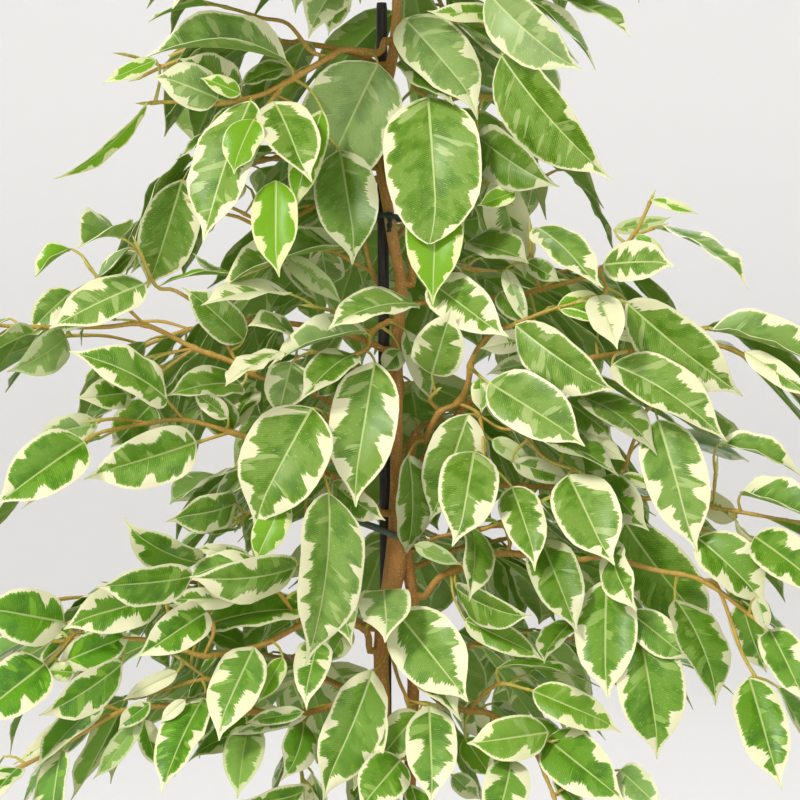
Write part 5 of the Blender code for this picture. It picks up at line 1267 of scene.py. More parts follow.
def blade_sheet(leaf, rng):
    """Corners of the top and underside, and where each one lies on the leaf."""
    way, up, side = (np.array(tuple(v)) for v in (leaf.way, leaf.up, leaf.side))
    half, long = leaf.half, leaf.length
    t = ALONG[:, None]
    s = ACROSS[None, :]
    lean = t ** rng.uniform(0.88, 1.1)
    width = np.interp(lean, ALONG, FULL_OUTLINE if leaf.half > FULL_HALF * MM else OUTLINE)
    reach = half * width
    droop = rng.uniform(0.1, 0.34)
    rise = math.sin(leaf.fold) + droop
    x = s * reach * math.cos(leaf.fold) * (1 + rng.uniform(-0.05, 0.05) * np.sign(s))
    z = reach * (np.abs(s) * rise - droop * s * s)
    for hand in (-1, 1):
        wave = rng.uniform(0.5, 1.7) * MM * min(1.0, half / (11 * MM))
        turns, start = rng.uniform(1.4, 3.2), rng.uniform(0, 6.3)
        z = z + np.where(s * hand > 0, wave * np.sin(2 * math.pi * turns * t + start) * np.abs(s) ** 2.2
                         * np.minimum(1.0, width * 1.4), 0.0)
    twist = rng.uniform(-0.22, 0.22) * (t - 0.3)
    x, z = x * np.cos(twist) - z * np.sin(twist), x * np.sin(twist) + z * np.cos(twist)
    hook = rng.uniform(-1, 1) * 0.06 * long * np.maximum(0, t - 0.7) ** 2 / 0.09
    curl = rng.uniform(-0.05, 0.02) * long * np.maximum(0, t - 0.72) ** 2 / 0.08
    mid = leaf.arch * 4 * t * (1 - t) + curl
    spots = (np.array(tuple(leaf.base)) + way * (long * t)[..., None] + side * (x + hook)[..., None]
             + up * (z + mid)[..., None])
    down_way = np.gradient(spots, axis=0)
    over_way = np.gradient(spots, axis=1)
    normal = np.cross(over_way, down_way)
    normal /= np.maximum(np.linalg.norm(normal, axis=2), 1e-12)[..., None]
    thick = BLADE_THICK / 2 * MM * (1 - 0.45 * np.abs(s)) * np.ones_like(t)
    rib = np.where(np.abs(s) < 0.01, 0.32 * MM * (1 - 0.8 * t), 0.0)
    top = spots + normal * (thick - rib * 0.35)[..., None]
    under = spots - normal * (thick + rib)[..., None]
    corners = np.concatenate([top.reshape(-1, 3), under.reshape(-1, 3)])
    along = (long * t / MM) * np.ones_like(s)
    across = s * reach / MM
    edge = reach * (1 - np.abs(s)) / MM
    rib_width = (0.62 * (1 - 0.72 * t) * min(1.0, half / MM / 14) + 0.12) * np.ones_like(s)
    place = np.stack([along, across, edge, rib_width], axis=2).reshape(-1, 4)
    return corners, np.concatenate([place, place])


print("corners of a blade:", 2 * ROWS * COLUMNS)

# %% A leaf with its petiole
def add_leaf(mesh, leaf, rng):
    """A petiole from the wood, and the blade, as two closed bodies that meet at the blade's foot."""
    corners, place = blade_sheet(leaf, rng)
    count = len(corners) // 2
    tone = list(TONES[leaf.tone])
    if not leaf.hero and leaf.tone == "g":
        tone = [rng.uniform(0.45, 1.2), max(0.0, rng.uniform(-0.5, 0.35)), rng.uniform(-0.3, 0.6), 0.0]
        if rng.random() < 0.06:
            tone[0] = 3.4
    if leaf.tone in "gdpo":
        # Painted shade and sheen: the lowest and outermost leaves are painted a deeper, more vivid green,
        # while those near the middle keep the greyer look that sheen gives them in the bright light.
        old = 4.1 * max(0, -leaf.base.x) + 1.7 * max(0, leaf.base.x) + 3.7 * (0.387 - leaf.base.z)
        tone[1] -= min(1.0, max(0.0, old))
    tone[0] *= rng.uniform(0.75, 1.3)
    tone[2] += rng.uniform(-0.15, 0.15)
    flip = leaf.tone == "o"
    seen_side = np.array([0.0 if flip else 1.0] * count + [1.0 if flip else 0.0] * count)
    seeds = [np.full(2 * count, rng.random()) for _ in range(2)]
    draw = np.stack([*seeds, seen_side], axis=1)
    mesh.add(corners, BLADE_FACES, 1, place, draw, np.tile(tone, (2 * count, 1)))
    root = leaf.root
    run = leaf.base - root
    bend = root + run * 0.5 + (leaf.way * -0.12 + run.normalized() * 0.05) * run.length
    inner = leaf.base + leaf.way * 2.2 * MM
    course, sizes = smooth_course([root, bend, leaf.base, inner], [1.05, 0.72, 0.62, 0.35], 3.5)
    pale = 0.86 + 0.14 * rng.random()
    ages = np.repeat(np.linspace(pale - 0.25, pale, len(course)), 6)
    mesh.add(*bar(course, sizes, 6), 0, age=ages)


def nearest_on(courses, spot):
    """The nearest point of the smoothed wood."""
    points = [point for course, _ in courses for point in course]
    far = np.linalg.norm(np.array([tuple(point) for point in points]) - np.array(tuple(spot)), axis=1)
    return points[int(far.argmin())]


print("tones:", len(TONES))

# %% [markdown]
# ## Finishes
#
# The leaf finish draws everything from where a point lies on its leaf. Side veins run from the
# midrib to the edge at a steep slant, so all points of one vein share one number. Cream that may
# reach a different depth at every such number gets its toothed edge by itself. The same number
# gives the fine lines of the veins, the grey-green clouds and the flecks between them.

# %% Small helpers for node trees
class Tree:
    """A material's nodes, built as short steps."""
    def __init__(self, name):
        self.material = bpy.data.materials.new(name)
        self.material.use_nodes = True
        self.nodes = self.material.node_tree.nodes
        self.links = self.material.node_tree.links
        self.shader = self.nodes["Principled BSDF"]

    def put(self, socket, value):
        if isinstance(value, bpy.types.NodeSocket):
            self.links.new(value, socket)
        else:
            socket.default_value = value

    def math(self, operation, *values, clamp=False):
        step = self.nodes.new("ShaderNodeMath")
        step.operation = operation
        step.use_clamp = clamp
        for socket, value in zip(step.inputs, values):
            self.put(socket, value)
        return step.outputs[0]

    def between(self, value, low, high, start=0.0, end=1.0):
        """Runs from start to end while value goes from low to high, softly at both ends."""
        step = self.nodes.new("ShaderNodeMapRange")
        step.interpolation_type = "SMOOTHSTEP"
        for socket, number in zip(step.inputs, (value, low, high, start, end)):
            self.put(socket, number)
        return step.outputs[0]

    def vector(self, x, y, z):
        step = self.nodes.new("ShaderNodeCombineXYZ")
        for socket, value in zip(step.inputs, (x, y, z)):
            self.put(socket, value)
        return step.outputs[0]

    def noise(self, where, scale=1.0, detail=2.0, rough=0.5):
        step = self.nodes.new("ShaderNodeTexNoise")
        self.put(step.inputs["Vector"], where)
        step.inputs["Scale"].default_value = scale
        step.inputs["Detail"].default_value = detail
        step.inputs["Roughness"].default_value = rough
        return step.outputs["Fac"]

    def mix(self, share, first, second, blend="MIX"):
        step = self.nodes.new("ShaderNodeMix")
        step.data_type = "RGBA"
        step.blend_type = blend
        self.put(step.inputs["Factor"], share)
        for socket, value in zip((step.inputs[6], step.inputs[7]), (first, second)):
            self.put(socket, (*value, 1.0) if isinstance(value, tuple) else value)
        return step.outputs[2]

    def read(self, label):
        step = self.nodes.new("ShaderNodeAttribute")
        step.attribute_name = label
        return step

    def split(self, vector):
        step = self.nodes.new("ShaderNodeSeparateXYZ")
        self.put(step.inputs[0], vector)
        return step.outputs

    def bump(self, height, distance, strength=1.0):
        step = self.nodes.new("ShaderNodeBump")
        step.inputs["Strength"].default_value = strength
        step.inputs["Distance"].default_value = distance
        self.put(step.inputs["Height"], height)
        self.links.new(step.outputs[0], self.shader.inputs["Normal"])

    def finish(self, colour, rough, specular=0.5, coat=0.0, coat_rough=0.2):
        self.put(self.shader.inputs["Base Color"], colour)
        self.put(self.shader.inputs["Roughness"], rough)
        self.shader.inputs["Specular IOR Level"].default_value = specular
        self.shader.inputs["Coat Weight"].default_value = coat
        self.shader.inputs["Coat Roughness"].default_value = coat_rough
        return self.material


print("node helpers ready")

# %% The leaf finish
DEEP_GREEN = (0.045, 0.130, 0.002)
MID_GREEN = (0.088, 0.210, 0.005)
GREY_GREEN = (0.162, 0.284, 0.036)
MILKY_GREEN = (0.400, 0.500, 0.180)
PALE_GREEN = (0.400, 0.530, 0.135)
CREAM = (0.830, 0.795, 0.520)
# Besides fresh leaves, LIME also paints the yellow-green glow of light shining through a leaf.
LIME = (0.165, 0.370, 0.004)
LIME_EDGE = (0.700, 0.740, 0.330)
OUTER_PAINTED_SHADE = (0.54, 0.95, 0.04)     # painted shade: what is left of the green in the lowest and outermost leaves
RIB = (0.560, 0.640, 0.270)
WITHERED = (0.330, 0.190, 0.090)
UNDER = (0.230, 0.370, 0.070)
VEIN_STEP = 1.15    # mm between side veins
VEIN_SLANT = 0.56   # mm along the leaf for each mm away from the midrib

t = Tree("fig_leaf")
place = t.read("place_mm")
along, across, edge = t.split(place.outputs["Color"])
rib_width = place.outputs["Alpha"]
seed_a, seed_b, side_up = t.split(t.read("draw").outputs["Vector"])
tone = t.read("tone")
cream_share, lime_and_painted_light_share, shade_share = t.split(tone.outputs["Color"])
withered_share = tone.outputs["Alpha"]
away = t.math("ABSOLUTE", across)
hand = t.math("SIGN", across)
vein = t.math("SUBTRACT", along, t.math("MULTIPLY", away, VEIN_SLANT))
row_a = t.math("MULTIPLY_ADD", seed_a, 90.0, t.math("MULTIPLY", hand, 7.3))
row_b = t.math("MULTIPLY_ADD", seed_b, 90.0, t.math("MULTIPLY", hand, 3.1))

deep = t.noise(t.vector(t.math("MULTIPLY", vein, 0.085), row_a, row_b), 1.0, 1.0)
teeth = t.noise(t.vector(t.math("MULTIPLY", vein, 1.0), row_b, t.math("MULTIPLY", away, 0.05)), 1.0, 2.0, 0.6)
patch = t.between(deep, 0.48, 0.64, 0.0, 5.4)
depth = t.math("MULTIPLY_ADD", t.math("SUBTRACT", teeth, 0.42), t.math("MULTIPLY_ADD", patch, 0.9, 2.7),
               t.math("ADD", patch, 1.4))
depth = t.math("MULTIPLY", depth, cream_share)
cream_mask = t.between(t.math("SUBTRACT", depth, edge), -0.12, 0.22)
fringe = t.between(t.math("SUBTRACT", t.math("MULTIPLY_ADD", teeth, 2.4, depth), edge), 0.1, 0.6)

cloud = t.noise(t.vector(t.math("MULTIPLY", vein, 0.10), t.math("MULTIPLY", away, 0.085), row_b), 1.0, 2.0,
                0.55)
grey_mask = t.between(cloud, 0.42, 0.54)
deep_mask = t.between(cloud, 0.42, 0.30, 0.0, 0.75)
milk = t.noise(t.vector(row_a, t.math("MULTIPLY", vein, 0.12), t.math("MULTIPLY", away, 0.045)), 1.0, 1.0)
milk = t.math("MULTIPLY_ADD", t.math("SUBTRACT", teeth, 0.5), 0.22, milk)
milk_mask = t.between(milk, 0.635, 0.665, 0.0, 0.75)
fleck = t.noise(t.vector(t.math("MULTIPLY", vein, 1.3), t.math("MULTIPLY", away, 0.55), row_a), 1.0, 1.0, 0.7)
fleck_mask = t.between(fleck, 0.63, 0.72, 0.0, 0.6)

wander = t.math("MULTIPLY", t.noise(t.vector(t.math("MULTIPLY", vein, 0.2), away, row_a), 0.5, 0.0), 0.9)
comb = t.math("ABSOLUTE", t.math("SUBTRACT", t.math("FRACT", t.math("DIVIDE", t.math("ADD", vein, wander),
                                                                VEIN_STEP)), 0.5))
vein_line = t.between(comb, 0.34, 0.48)
rib_line = t.between(t.math("SUBTRACT", rib_width, away), -0.12, 0.12)

green = t.mix(deep_mask, t.mix(grey_mask, MID_GREEN, GREY_GREEN), DEEP_GREEN)
green = t.mix(milk_mask, green, MILKY_GREEN)
green = t.mix(fleck_mask, green, PALE_GREEN)
green = t.mix(t.math("MULTIPLY", vein_line, 0.34), green, PALE_GREEN)
green = t.mix(fringe, green, t.mix(0.45, MID_GREEN, PALE_GREEN))
# Painted shade: a lime share below zero turns the green deeper and more vivid in the lowest and outermost
# leaves.
green = t.mix(t.math("MULTIPLY", lime_and_painted_light_share, -1.0, clamp=True), green, OUTER_PAINTED_SHADE, "MULTIPLY")
body = t.mix(t.math("MULTIPLY", lime_and_painted_light_share, 0.9, clamp=True), green, LIME)
pale = t.mix(t.math("MULTIPLY", lime_and_painted_light_share, 0.75, clamp=True), CREAM, LIME_EDGE)
colour = t.mix(cream_mask, body, pale)
colour = t.mix(t.math("MULTIPLY", rib_line, 0.85), colour, RIB)
colour = t.mix(withered_share, colour, WITHERED)
under_share = t.math("MULTIPLY", t.math("SUBTRACT", 1.0, side_up), 0.5)
colour = t.mix(under_share, colour, UNDER)
# Painted shade and light: a shade share above zero darkens the leaf towards a deep green, and below zero
# pales it as bright light does.
dark = t.mix(t.math("MAXIMUM", shade_share, 0.0), colour, t.mix(0.6, colour, (0.03, 0.085, 0.002)))
light = t.mix(t.math("MAXIMUM", t.math("MULTIPLY", shade_share, -1.0), 0.0), dark,
              t.mix(0.5, dark, (0.52, 0.62, 0.34)))
rough = t.math("MULTIPLY_ADD", t.math("SUBTRACT", 1.0, side_up), 0.26, 0.31)
rough = t.math("MULTIPLY_ADD", fleck, 0.08, rough)
relief = t.math("MULTIPLY_ADD", t.math("SUBTRACT", 0.5, side_up), t.math("MULTIPLY", vein_line, 0.8),
                t.math("MULTIPLY", fleck, 0.25))
t.bump(relief, 0.00022, 0.8)
# A faint yellow-green glow paints the light that comes through the thin blades, and lifts the shadows inside
# the plant.
t.shader.inputs["Emission Color"].default_value = (0.30, 0.62, 0.0, 1.0)
t.shader.inputs["Emission Strength"].default_value = 0.035
FIG_LEAF = t.finish(light, rough, 0.32)
print("leaf finish nodes:", len(t.nodes))

# %% Bark, petiole, cane, tie, clay and soil
def bark_finish(name, old, mid, young, green_tip):
    """Bark that goes from brown through green-brown to a pale green petiole with its age number."""
    t = Tree(name)
    age = t.read("age").outputs["Fac"]
    where = t.nodes.new("ShaderNodeTexCoord").outputs["Object"]
    x, y, z = t.split(where)
    streaks = t.noise(t.vector(t.math("MULTIPLY", x, 1100.0), t.math("MULTIPLY", y, 1100.0),
                               t.math("MULTIPLY", z, 160.0)), 1.0, 3.0, 0.6)
    broad = t.noise(where, 55.0, 2.0)
    spots = t.noise(t.vector(t.math("MULTIPLY", x, 900.0), t.math("MULTIPLY", y, 900.0),
                             t.math("MULTIPLY", z, 1500.0)), 1.0, 0.0)
    spot_mask = t.math("MULTIPLY", t.between(spots, 0.69, 0.75), t.between(age, 0.5, 0.2))
    wood = t.mix(t.between(age, 0.0, 0.42), old, mid)
    wood = t.mix(t.between(age, 0.42, 0.78), wood, young)
    wood = t.mix(t.between(age, 0.78, 1.0), wood, green_tip)
    wood = t.mix(t.math("MULTIPLY", t.between(streaks, 0.35, 0.7), 0.5), wood,
                 t.mix(0.6, wood, (0.12, 0.045, 0.012)))
    wood = t.mix(t.between(broad, 0.40, 0.72, 0.0, 0.35), wood, t.mix(0.5, wood, (0.70, 0.44, 0.16)))
    wood = t.mix(t.math("MULTIPLY", spot_mask, 0.8), wood, (0.70, 0.52, 0.32))
    t.bump(t.math("ADD", streaks, t.math("MULTIPLY", spot_mask, 1.5)), 0.0003, 0.6)
    return t.finish(wood, t.between(age, 0.0, 1.0, 0.62, 0.42), 0.4)


STEM_BARK = bark_finish("stem_bark", (0.560, 0.250, 0.060), (0.600, 0.310, 0.070), (0.46, 0.37, 0.09),
                        (0.45, 0.50, 0.18))
TWIG_BARK = bark_finish("twig_bark", (0.540, 0.280, 0.050), (0.550, 0.350, 0.060), (0.540, 0.490, 0.080),
                        (0.640, 0.660, 0.200))


def plain_finish(name, base, second, scale, stretch, rough, relief, share=0.6, specular=0.4):
    """A two-tone finish from one stretched noise, with a little relief."""
    t = Tree(name)
    x, y, z = t.split(t.nodes.new("ShaderNodeTexCoord").outputs["Object"])
    grain = t.noise(t.vector(t.math("MULTIPLY", x, scale), t.math("MULTIPLY", y, scale),
                             t.math("MULTIPLY", z, scale * stretch)), 1.0, 4.0, 0.6)
    colour = t.mix(t.between(grain, 0.35, 0.68, 0.0, share), base, second)
    t.bump(grain, relief, 0.6)
    return t.finish(colour, t.between(grain, 0.3, 0.7, rough - 0.06, rough + 0.08), specular)


DARK_STICK = plain_finish("dark_cane", (0.022, 0.018, 0.017), (0.075, 0.060, 0.055), 900.0, 0.06, 0.5,
                          0.00025)
SOFT_TIE = plain_finish("tie_plastic", (0.110, 0.150, 0.128), (0.160, 0.205, 0.178), 300.0, 1.0, 0.45,
                        0.0001)
DARK_TIE = plain_finish("tie_wire", (0.018, 0.045, 0.040), (0.040, 0.080, 0.068), 300.0, 1.0, 0.45, 0.0001)
BAKED_CLAY = plain_finish("baked_clay", (0.500, 0.205, 0.095), (0.590, 0.290, 0.160), 26.0, 11.0, 0.82,
                          0.0004, 0.55, 0.25)
POTTING_SOIL = plain_finish("potting_soil", (0.022, 0.014, 0.009), (0.085, 0.052, 0.030), 420.0, 1.0, 0.95,
                            0.0012, 0.9, 0.15)
print("finishes:", [m.name for m in bpy.data.materials])

# %% [markdown]
# ## The leafy branches
#
# Each branch becomes one piece: its round wood, a soft collar against the stem, petioles, blades
# and the pointed buds at the twig ends. It stands for the coarse solid of the same name.

# %% Build every branch
def last_joint(course, joints):
    """Index of the course's farthest point where something grows, since wood ends soon after it."""
    last = 3
    for spot in joints:
        index = min(range(len(course)), key=lambda index: (course[index] - spot).length)
        if (course[index] - spot).length < 3 * MM:
            last = max(last, index)
    return last


all_triangles = 0
for order, branch in enumerate(branches):
    mesh = Mesh()
    courses = []
    for number, (line, radii) in enumerate(branch.lines):
        line = list(line)
        if number == 0:
            inward = (line[0] - line[1]).normalized()
            line = [line[0] + inward * 1.6 * MM] + line
            radii = [radii[0] * 1.25] + [radii[0] * 1.2] + list(radii[1:])
        elif courses:
            line[0] = nearest_on(courses, line[0])
        courses.append([*smooth_course(line, radii)])
    for number, (course, sizes) in enumerate(courses):
        joints = [leaf.root for leaf in branch.leaves] + [other[0][0] for other in courses[number + 1:]]
        last = last_joint(course, joints)
        course, sizes = course[:last + 5], sizes[:last + 5]
        courses[number] = [course, sizes]
        array = np.array([tuple(p) for p in course])
        widen = np.ones(len(course))
        for spot in joints:
            far = np.linalg.norm(array - np.array(tuple(spot)), axis=1)
            widen += 0.32 * np.exp(-(far / (1.7 * MM)) ** 2)
        sizes = np.array(sizes) * np.minimum(widen, 1.45)
        part = np.linspace(0, 1, len(course))
        ages = (0.06 + 0.55 * part ** 1.3) if number == 0 else (0.28 + 0.42 * part)
        mesh.add(*bar(course, sizes, 8), 0, age=np.repeat(ages, 8))
        rng = random.Random(4000 + order * 20 + number)
        way = (course[-1] - course[-2]).normalized()
        bud = [course[-1] - way * 1.0 * MM, course[-1] + way * 3 * MM,
               course[-1] + way * rng.uniform(6, 10) * MM + Vector((0, 0, rng.uniform(-1, 2))) * MM]
        bud_course, bud_sizes = smooth_course(bud, [0.8, 0.95, 0.12], 2.0)
        mesh.add(*bar(bud_course, bud_sizes, 6), 0, age=0.9)
    for number, leaf in enumerate(branch.leaves):
        leaf.root = nearest_on(courses, leaf.root)
        add_leaf(mesh, leaf, random.Random(7000 + order * 200 + number))
    piece = mesh.build(branch.name + "_fine", [TWIG_BARK, FIG_LEAF])
    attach(piece, "root")
    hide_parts(branch.name)
    all_triangles += sum(len(p.vertices) - 2 for p in piece.data.polygons)
print("branches:", len(branches), "triangles:", all_triangles)

# %% [markdown]
# ## Stems, cane and ties
#
# The stems are the warm brown of young fig bark, with pale pores, and swell where a branch leaves.
# The cane is stained dark and runs straight. The ties are soft wire and tube in a dark grey-green.

# %% Stems with their swellings
JOINED_AT = seen_at(396, 556, 7.6)      # where the two stems have grown into one thick foot


def stem_course(label):
    """Axis points and radii in mm of one stem, swollen at its branches and at the join."""
    course, sizes = smooth_course([seen_at(*row[:3]) for row in STEMS[label]],
                                  [row[3] for row in STEMS[label]], 2.0)
    swell = np.ones(len(course))
    for branch in branches:
        if branch.stem == "stem_" + label:
            far = np.array([(p - branch.lines[0][0][0]).length for p in course])
            swell += 0.08 * np.exp(-(far / (5 * MM)) ** 2)
    swell = np.minimum(swell, 1.1)
    if label == "main":
        joined = np.exp(-((np.array([p.z for p in course]) - JOINED_AT.z) / (24 * MM)) ** 4)
        course = [p + Vector((2.0 * MM * share, 0, 0)) for p, share in zip(course, joined)]
        swell += 0.52 * joined
    ripple = [random.Random(n * 7 + len(label)).uniform(-0.012, 0.012) for n in range(len(course))]
    return course, np.array(sizes) * (swell + ripple)


stem_lines = {label: stem_course(label) for label in STEMS}
for label, (course, sizes) in stem_lines.items():
    mesh = Mesh()
    youngest = 0.62 if label == "main" else 0.15
    mesh.add(*bar(course, sizes, 20), 0, age=np.repeat(np.linspace(0.0, youngest, len(course)) ** 1.6, 20))
    piece = mesh.build("stem_%s_fine" % label, [STEM_BARK])
    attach(piece, "root")
    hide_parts("stem_" + label)
print("widest stem radius:", round(float(max(stem_lines["main"][1])), 1), "mm")

# %% The cane
mesh = Mesh()
course, sizes = smooth_course(cane_spots, [CANE_RADIUS] * 4, 4.0)
ripple = [1 + random.Random(n).uniform(-0.012, 0.012) for n in range(len(course))]
sizes = [size * wobble for size, wobble in zip(sizes, ripple)]
sizes[-1] *= 0.86
mesh.add(*bar(course, sizes, 20), 0)
piece = mesh.build("cane_fine", [DARK_STICK])
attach(piece, "root")
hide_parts("cane")
print("the cane is", round(cane_spots[-1].z - cane_spots[0].z, 2), "m long")

# %% The ties
def loop_course(loop, count=60):
    """A closed smooth course through the loop's points."""
    around = list(loop)
    course = []
    total = len(around)
    for index in range(total):
        a, b, c, d = (around[(index + k) % total] for k in (-1, 0, 1, 2))
        for number in range(count // total):
            course.append(smooth_point(a, b, c, d, number / (count // total)))
    return course


def pressed_out(course, radius):
    """The course moved off the main stem, so that the tie lies on its bark."""
    axis, sizes = stem_lines["main"]
    moved = []
    for spot in course:
        near = min(range(len(axis)), key=lambda index: (axis[index] - spot).length)
        away = spot - axis[near]
        away.z = 0
        least = (sizes[near] + radius * 0.8) * MM
        if away.length < least:
            spot = spot + away.normalized() * (least - away.length)
        moved.append(spot)
    return moved


for name, loop, radius, finish in (("tie_upper", upper_loop, 1.35, DARK_TIE),
                                   ("tie_lower", lower_loop, 1.6, SOFT_TIE)):
    mesh = Mesh()
    course = pressed_out(loop_course(loop), radius)
    mesh.add(*bar(course, [radius] * len(course), 10, True), 0)
    if name == "tie_upper":
        for strand in (0, 1):
            twisted = []
            for number in range(25):
                part = number / 24
                where = twist_end[0].lerp(twist_end[1], min(1, part * 2)) if part < 0.5 \
                    else twist_end[1].lerp(twist_end[2], part * 2 - 1)
                angle = part * 9 + strand * math.pi
                twisted.append(where + Vector((math.cos(angle), math.sin(angle), 0)) * 0.75 * MM)
            mesh.add(*bar(twisted, [0.85] * 25, 8), 0)
    piece = mesh.build(name + "_fine", [finish])
    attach(piece, "root")
    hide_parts(name)
print("ties on the cane")

# %% [markdown]
# ## The pot and its soil
#
# The pot stands below the photo's edge, so it is a plain clay one: turned, with a rounded rim band.
# The soil is a turned body whose top is roughened, with bark crumbs pressed into it.

# %% A turned shape
def turned_shape(mesh, profile, steps=96, roughen=None):
    """Turns (radius, height) rows in mm about the pot's axis, from the top middle to the base middle."""
    corners = []
    for radius, height in profile[1:-1]:
        for step in range(steps):
            angle = 2 * math.pi * step / steps
            corners.append((radius * math.cos(angle) * MM, radius * math.sin(angle) * MM, height * MM))
    faces = []
    rings = len(profile) - 2
    for ring in range(rings - 1):
        for step in range(steps):
            nxt = (step + 1) % steps
            faces.append((ring * steps + step, (ring + 1) * steps + step, (ring + 1) * steps + nxt,
                          ring * steps + nxt))
    top, low = len(corners), len(corners) + 1
    corners += [(0, 0, profile[0][1] * MM), (0, 0, profile[-1][1] * MM)]
    for step in range(steps):
        nxt = (step + 1) % steps
        faces.append((step, nxt, top))
        faces.append(((rings - 1) * steps + nxt, (rings - 1) * steps + step, low))
    if roughen:
        corners = [roughen(Vector(corner)) for corner in corners]
    mesh.add([tuple(corner) for corner in corners], faces, 0)


print("turning about the pot's axis")

# %% The pot's hollow
RIM_LOW = POT_HEIGHT - POT_RIM_HEIGHT


def pot_inside(height):
    """Radius of the pot's hollow at a height, in mm."""
    low = POT_BASE_RADIUS - POT_WALL
    neck = POT_NECK_RADIUS - POT_WALL
    if height <= RIM_LOW - 2:
        return low + (neck - low) * (height - POT_FLOOR) / (RIM_LOW - 2 - POT_FLOOR)
    mouth = POT_RIM_RADIUS - POT_WALL - 2
    return neck + (mouth - neck) * (height - RIM_LOW + 2) / (POT_RIM_HEIGHT)


print("soil radius:", round(pot_inside(SOIL_TOP)))

# %% The soil
CRUMBS = 420            # bits of bark that lie in the top
ROUGH_DEEP = 1.6        # mm that the top is roughened


def crumbly(corner):
    if corner.z < (SOIL_TOP - 6) * MM:
        return corner
    rng = random.Random(round(corner.x * 1e6) * 7 + round(corner.y * 1e6) * 13)
    return corner + Vector((0, 0, rng.uniform(-ROUGH_DEEP, 0.0) * MM))


mesh = Mesh()
rings = [(0, SOIL_TOP + 1.8)] + [(r, SOIL_TOP + 1.9 - 2.2 * (r / 75.0) ** 2) for r in range(3, 73, 2)]
outer = pot_inside(SOIL_TOP - 3) - SEAT_GAP - 0.4
rings += [(outer, SOIL_TOP - 3), (pot_inside(RIM_LOW - 2) - SEAT_GAP - 0.4, RIM_LOW - 2),
          (POT_BASE_RADIUS - POT_WALL - 1, POT_FLOOR + 0.5), (0, POT_FLOOR + 0.5)]
turned_shape(mesh, rings, 120, crumbly)
for number in range(CRUMBS):
    rng = random.Random(300 + number)
    angle, far = rng.uniform(0, 2 * math.pi), 70 * math.sqrt(rng.random())
    size = rng.uniform(0.9, 2.6)
    middle = Vector((far * math.cos(angle), far * math.sin(angle),
                     SOIL_TOP + 0.6 - 2.0 * (far / 75.0) ** 2 - size * 0.3)) * MM
    turn = [Vector([rng.uniform(-1, 1) for _ in range(3)]).normalized() for _ in range(6)]
    chip = bmesh.new()
    for way in turn + [Vector((0.2, 0, 1)), Vector((0, 0.3, -1))]:
        chip.verts.new(middle + Vector((way.x * 1.3, way.y, way.z * 0.6)) * size * MM)
    bmesh.ops.convex_hull(chip, input=chip.verts)
    loose = [v for v in chip.verts if not v.link_faces]
    bmesh.ops.delete(chip, geom=loose, context="VERTS")
    chip.verts.index_update()
    mesh.add([tuple(v.co) for v in chip.verts], [tuple(v.index for v in f.verts) for f in chip.faces], 0)
    chip.free()
piece = mesh.build("soil_fine", [POTTING_SOIL], 60)
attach(piece, "root")
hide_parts("soil")
print("soil corners:", len(piece.data.vertices))

# %% The pot's clay
clay_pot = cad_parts["pot"]
for slot in clay_pot.material_slots:
    slot.material = BAKED_CLAY
print("pot wears", clay_pot.material_slots[0].material.name)

# %% [markdown]
# ## The studio
#
# The photo is taken against an off-white wall in soft, bright light, so the room is a wide round
# bowl: a flat floor that curves up into a wall on all sides. It is matt and slightly lit by itself,
# which gives the high pale light and keeps shadows faint.

# %% The bowl
FLOOR_LEVEL = -0.0008   # m, a hair under the pot
FLOOR_RADIUS = 2.4      # m of flat floor
CURVE_RADIUS = 1.8      # m, the bend from floor to wall
WALL_TOP = 5.5          # m
BOWL_STEPS = 96
room = bpy.data.meshes.new("studio_bowl")
bowl = bmesh.new()
profile = [(FLOOR_RADIUS / 2, FLOOR_LEVEL), (FLOOR_RADIUS, FLOOR_LEVEL)]
profile += [(FLOOR_RADIUS + CURVE_RADIUS * math.sin(a),
             CURVE_RADIUS - CURVE_RADIUS * math.cos(a) + FLOOR_LEVEL)
            for a in np.linspace(0.1, math.pi / 2, 12)]
profile += [(FLOOR_RADIUS + CURVE_RADIUS, WALL_TOP)]
turns = [2 * math.pi * step / BOWL_STEPS for step in range(BOWL_STEPS)]
rings = []
for radius, height in profile:
    rings.append([bowl.verts.new((radius * math.cos(turn), radius * math.sin(turn), height))
                  for turn in turns])
bowl.faces.new(rings[0])
for low, high in zip(rings, rings[1:]):
    for step in range(BOWL_STEPS):
        after = (step + 1) % BOWL_STEPS
        bowl.faces.new((low[step], high[step], high[after], low[after]))
bowl.to_mesh(room)
bowl.free()
room.polygons.foreach_set("use_smooth", [True] * len(room.polygons))
t = Tree("pale_paper")
WALL = (0.790, 0.785, 0.780)
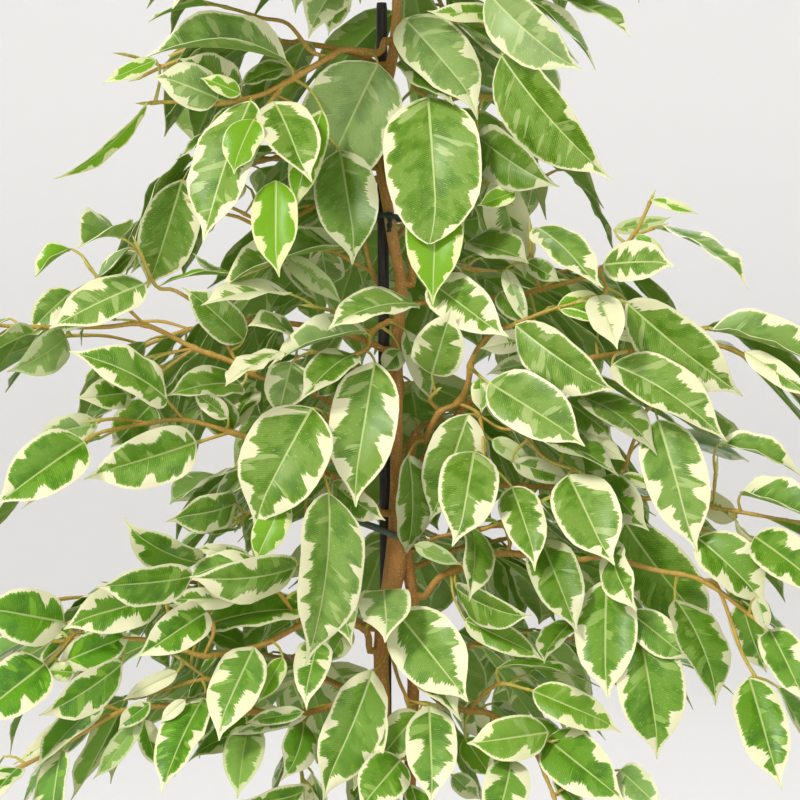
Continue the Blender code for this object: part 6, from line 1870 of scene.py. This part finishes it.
height = t.split(t.nodes.new("ShaderNodeTexCoord").outputs["Object"])[2]
# The glow is weaker at the floor and stronger up the wall: painted shade towards the bottom.
glow = t.mix(t.between(height, 0.0, 1.3), (0.10, 0.098, 0.096), (0.215, 0.212, 0.209))
t.put(t.shader.inputs["Emission Color"], glow)
t.shader.inputs["Emission Strength"].default_value = 1.0
room.materials.append(t.finish((*WALL, 1.0), 0.9, 0.1))
bowl_object = bpy.data.objects.new("studio_bowl", room)
bpy.context.scene.collection.objects.link(bowl_object)
print("bowl radius:", profile[-1][0])

# %% Lights
def soft_light(name, where, aim, size, power, colour):
    data = bpy.data.lights.new(name, "AREA")
    data.shape = "DISK"
    data.size = size
    data.energy = power
    data.color = colour
    lamp = bpy.data.objects.new(name, data)
    lamp.location = where
    lamp.rotation_euler = (Vector(aim) - Vector(where)).to_track_quat("-Z", "Y").to_euler()
    lamp.visible_camera = False
    bpy.context.scene.collection.objects.link(lamp)


soft_light("window", (-1.4, -1.9, 2.1), (0, 0, 0.5), 0.6, 58, (1.0, 0.985, 0.95))
soft_light("fill", (1.9, -1.5, 1.2), (0, 0, 0.45), 1.6, 9, (0.97, 0.985, 1.0))
soft_light("back", (0.6, 1.9, 2.0), (0, 0, 0.5), 1.4, 10, (1.0, 1.0, 1.0))
world = bpy.data.worlds.new("soft_sky")
bpy.context.scene.world = world
world.use_nodes = True
world.node_tree.nodes["Background"].inputs["Color"].default_value = (1.0, 1.0, 1.0, 1.0)
world.node_tree.nodes["Background"].inputs["Strength"].default_value = 0.38
bpy.context.scene.view_settings.view_transform = "Standard"

# %% The camera
HALF_FRAME = PHOTO_MIDDLE * PX_MM / CAMERA_DISTANCE
camera_data = bpy.data.cameras.new("camera")
camera_data.sensor_width = 36
camera_data.lens = 18 / HALF_FRAME
camera = bpy.data.objects.new("camera", camera_data)
camera.location = Vector((CAMERA_RIGHT, -CAMERA_DISTANCE, CAMERA_HEIGHT)) * MM
camera.rotation_euler = (math.pi / 2, 0, 0)
bpy.context.scene.collection.objects.link(camera)
bpy.context.scene.camera = camera
print("lens:", round(camera_data.lens, 1))
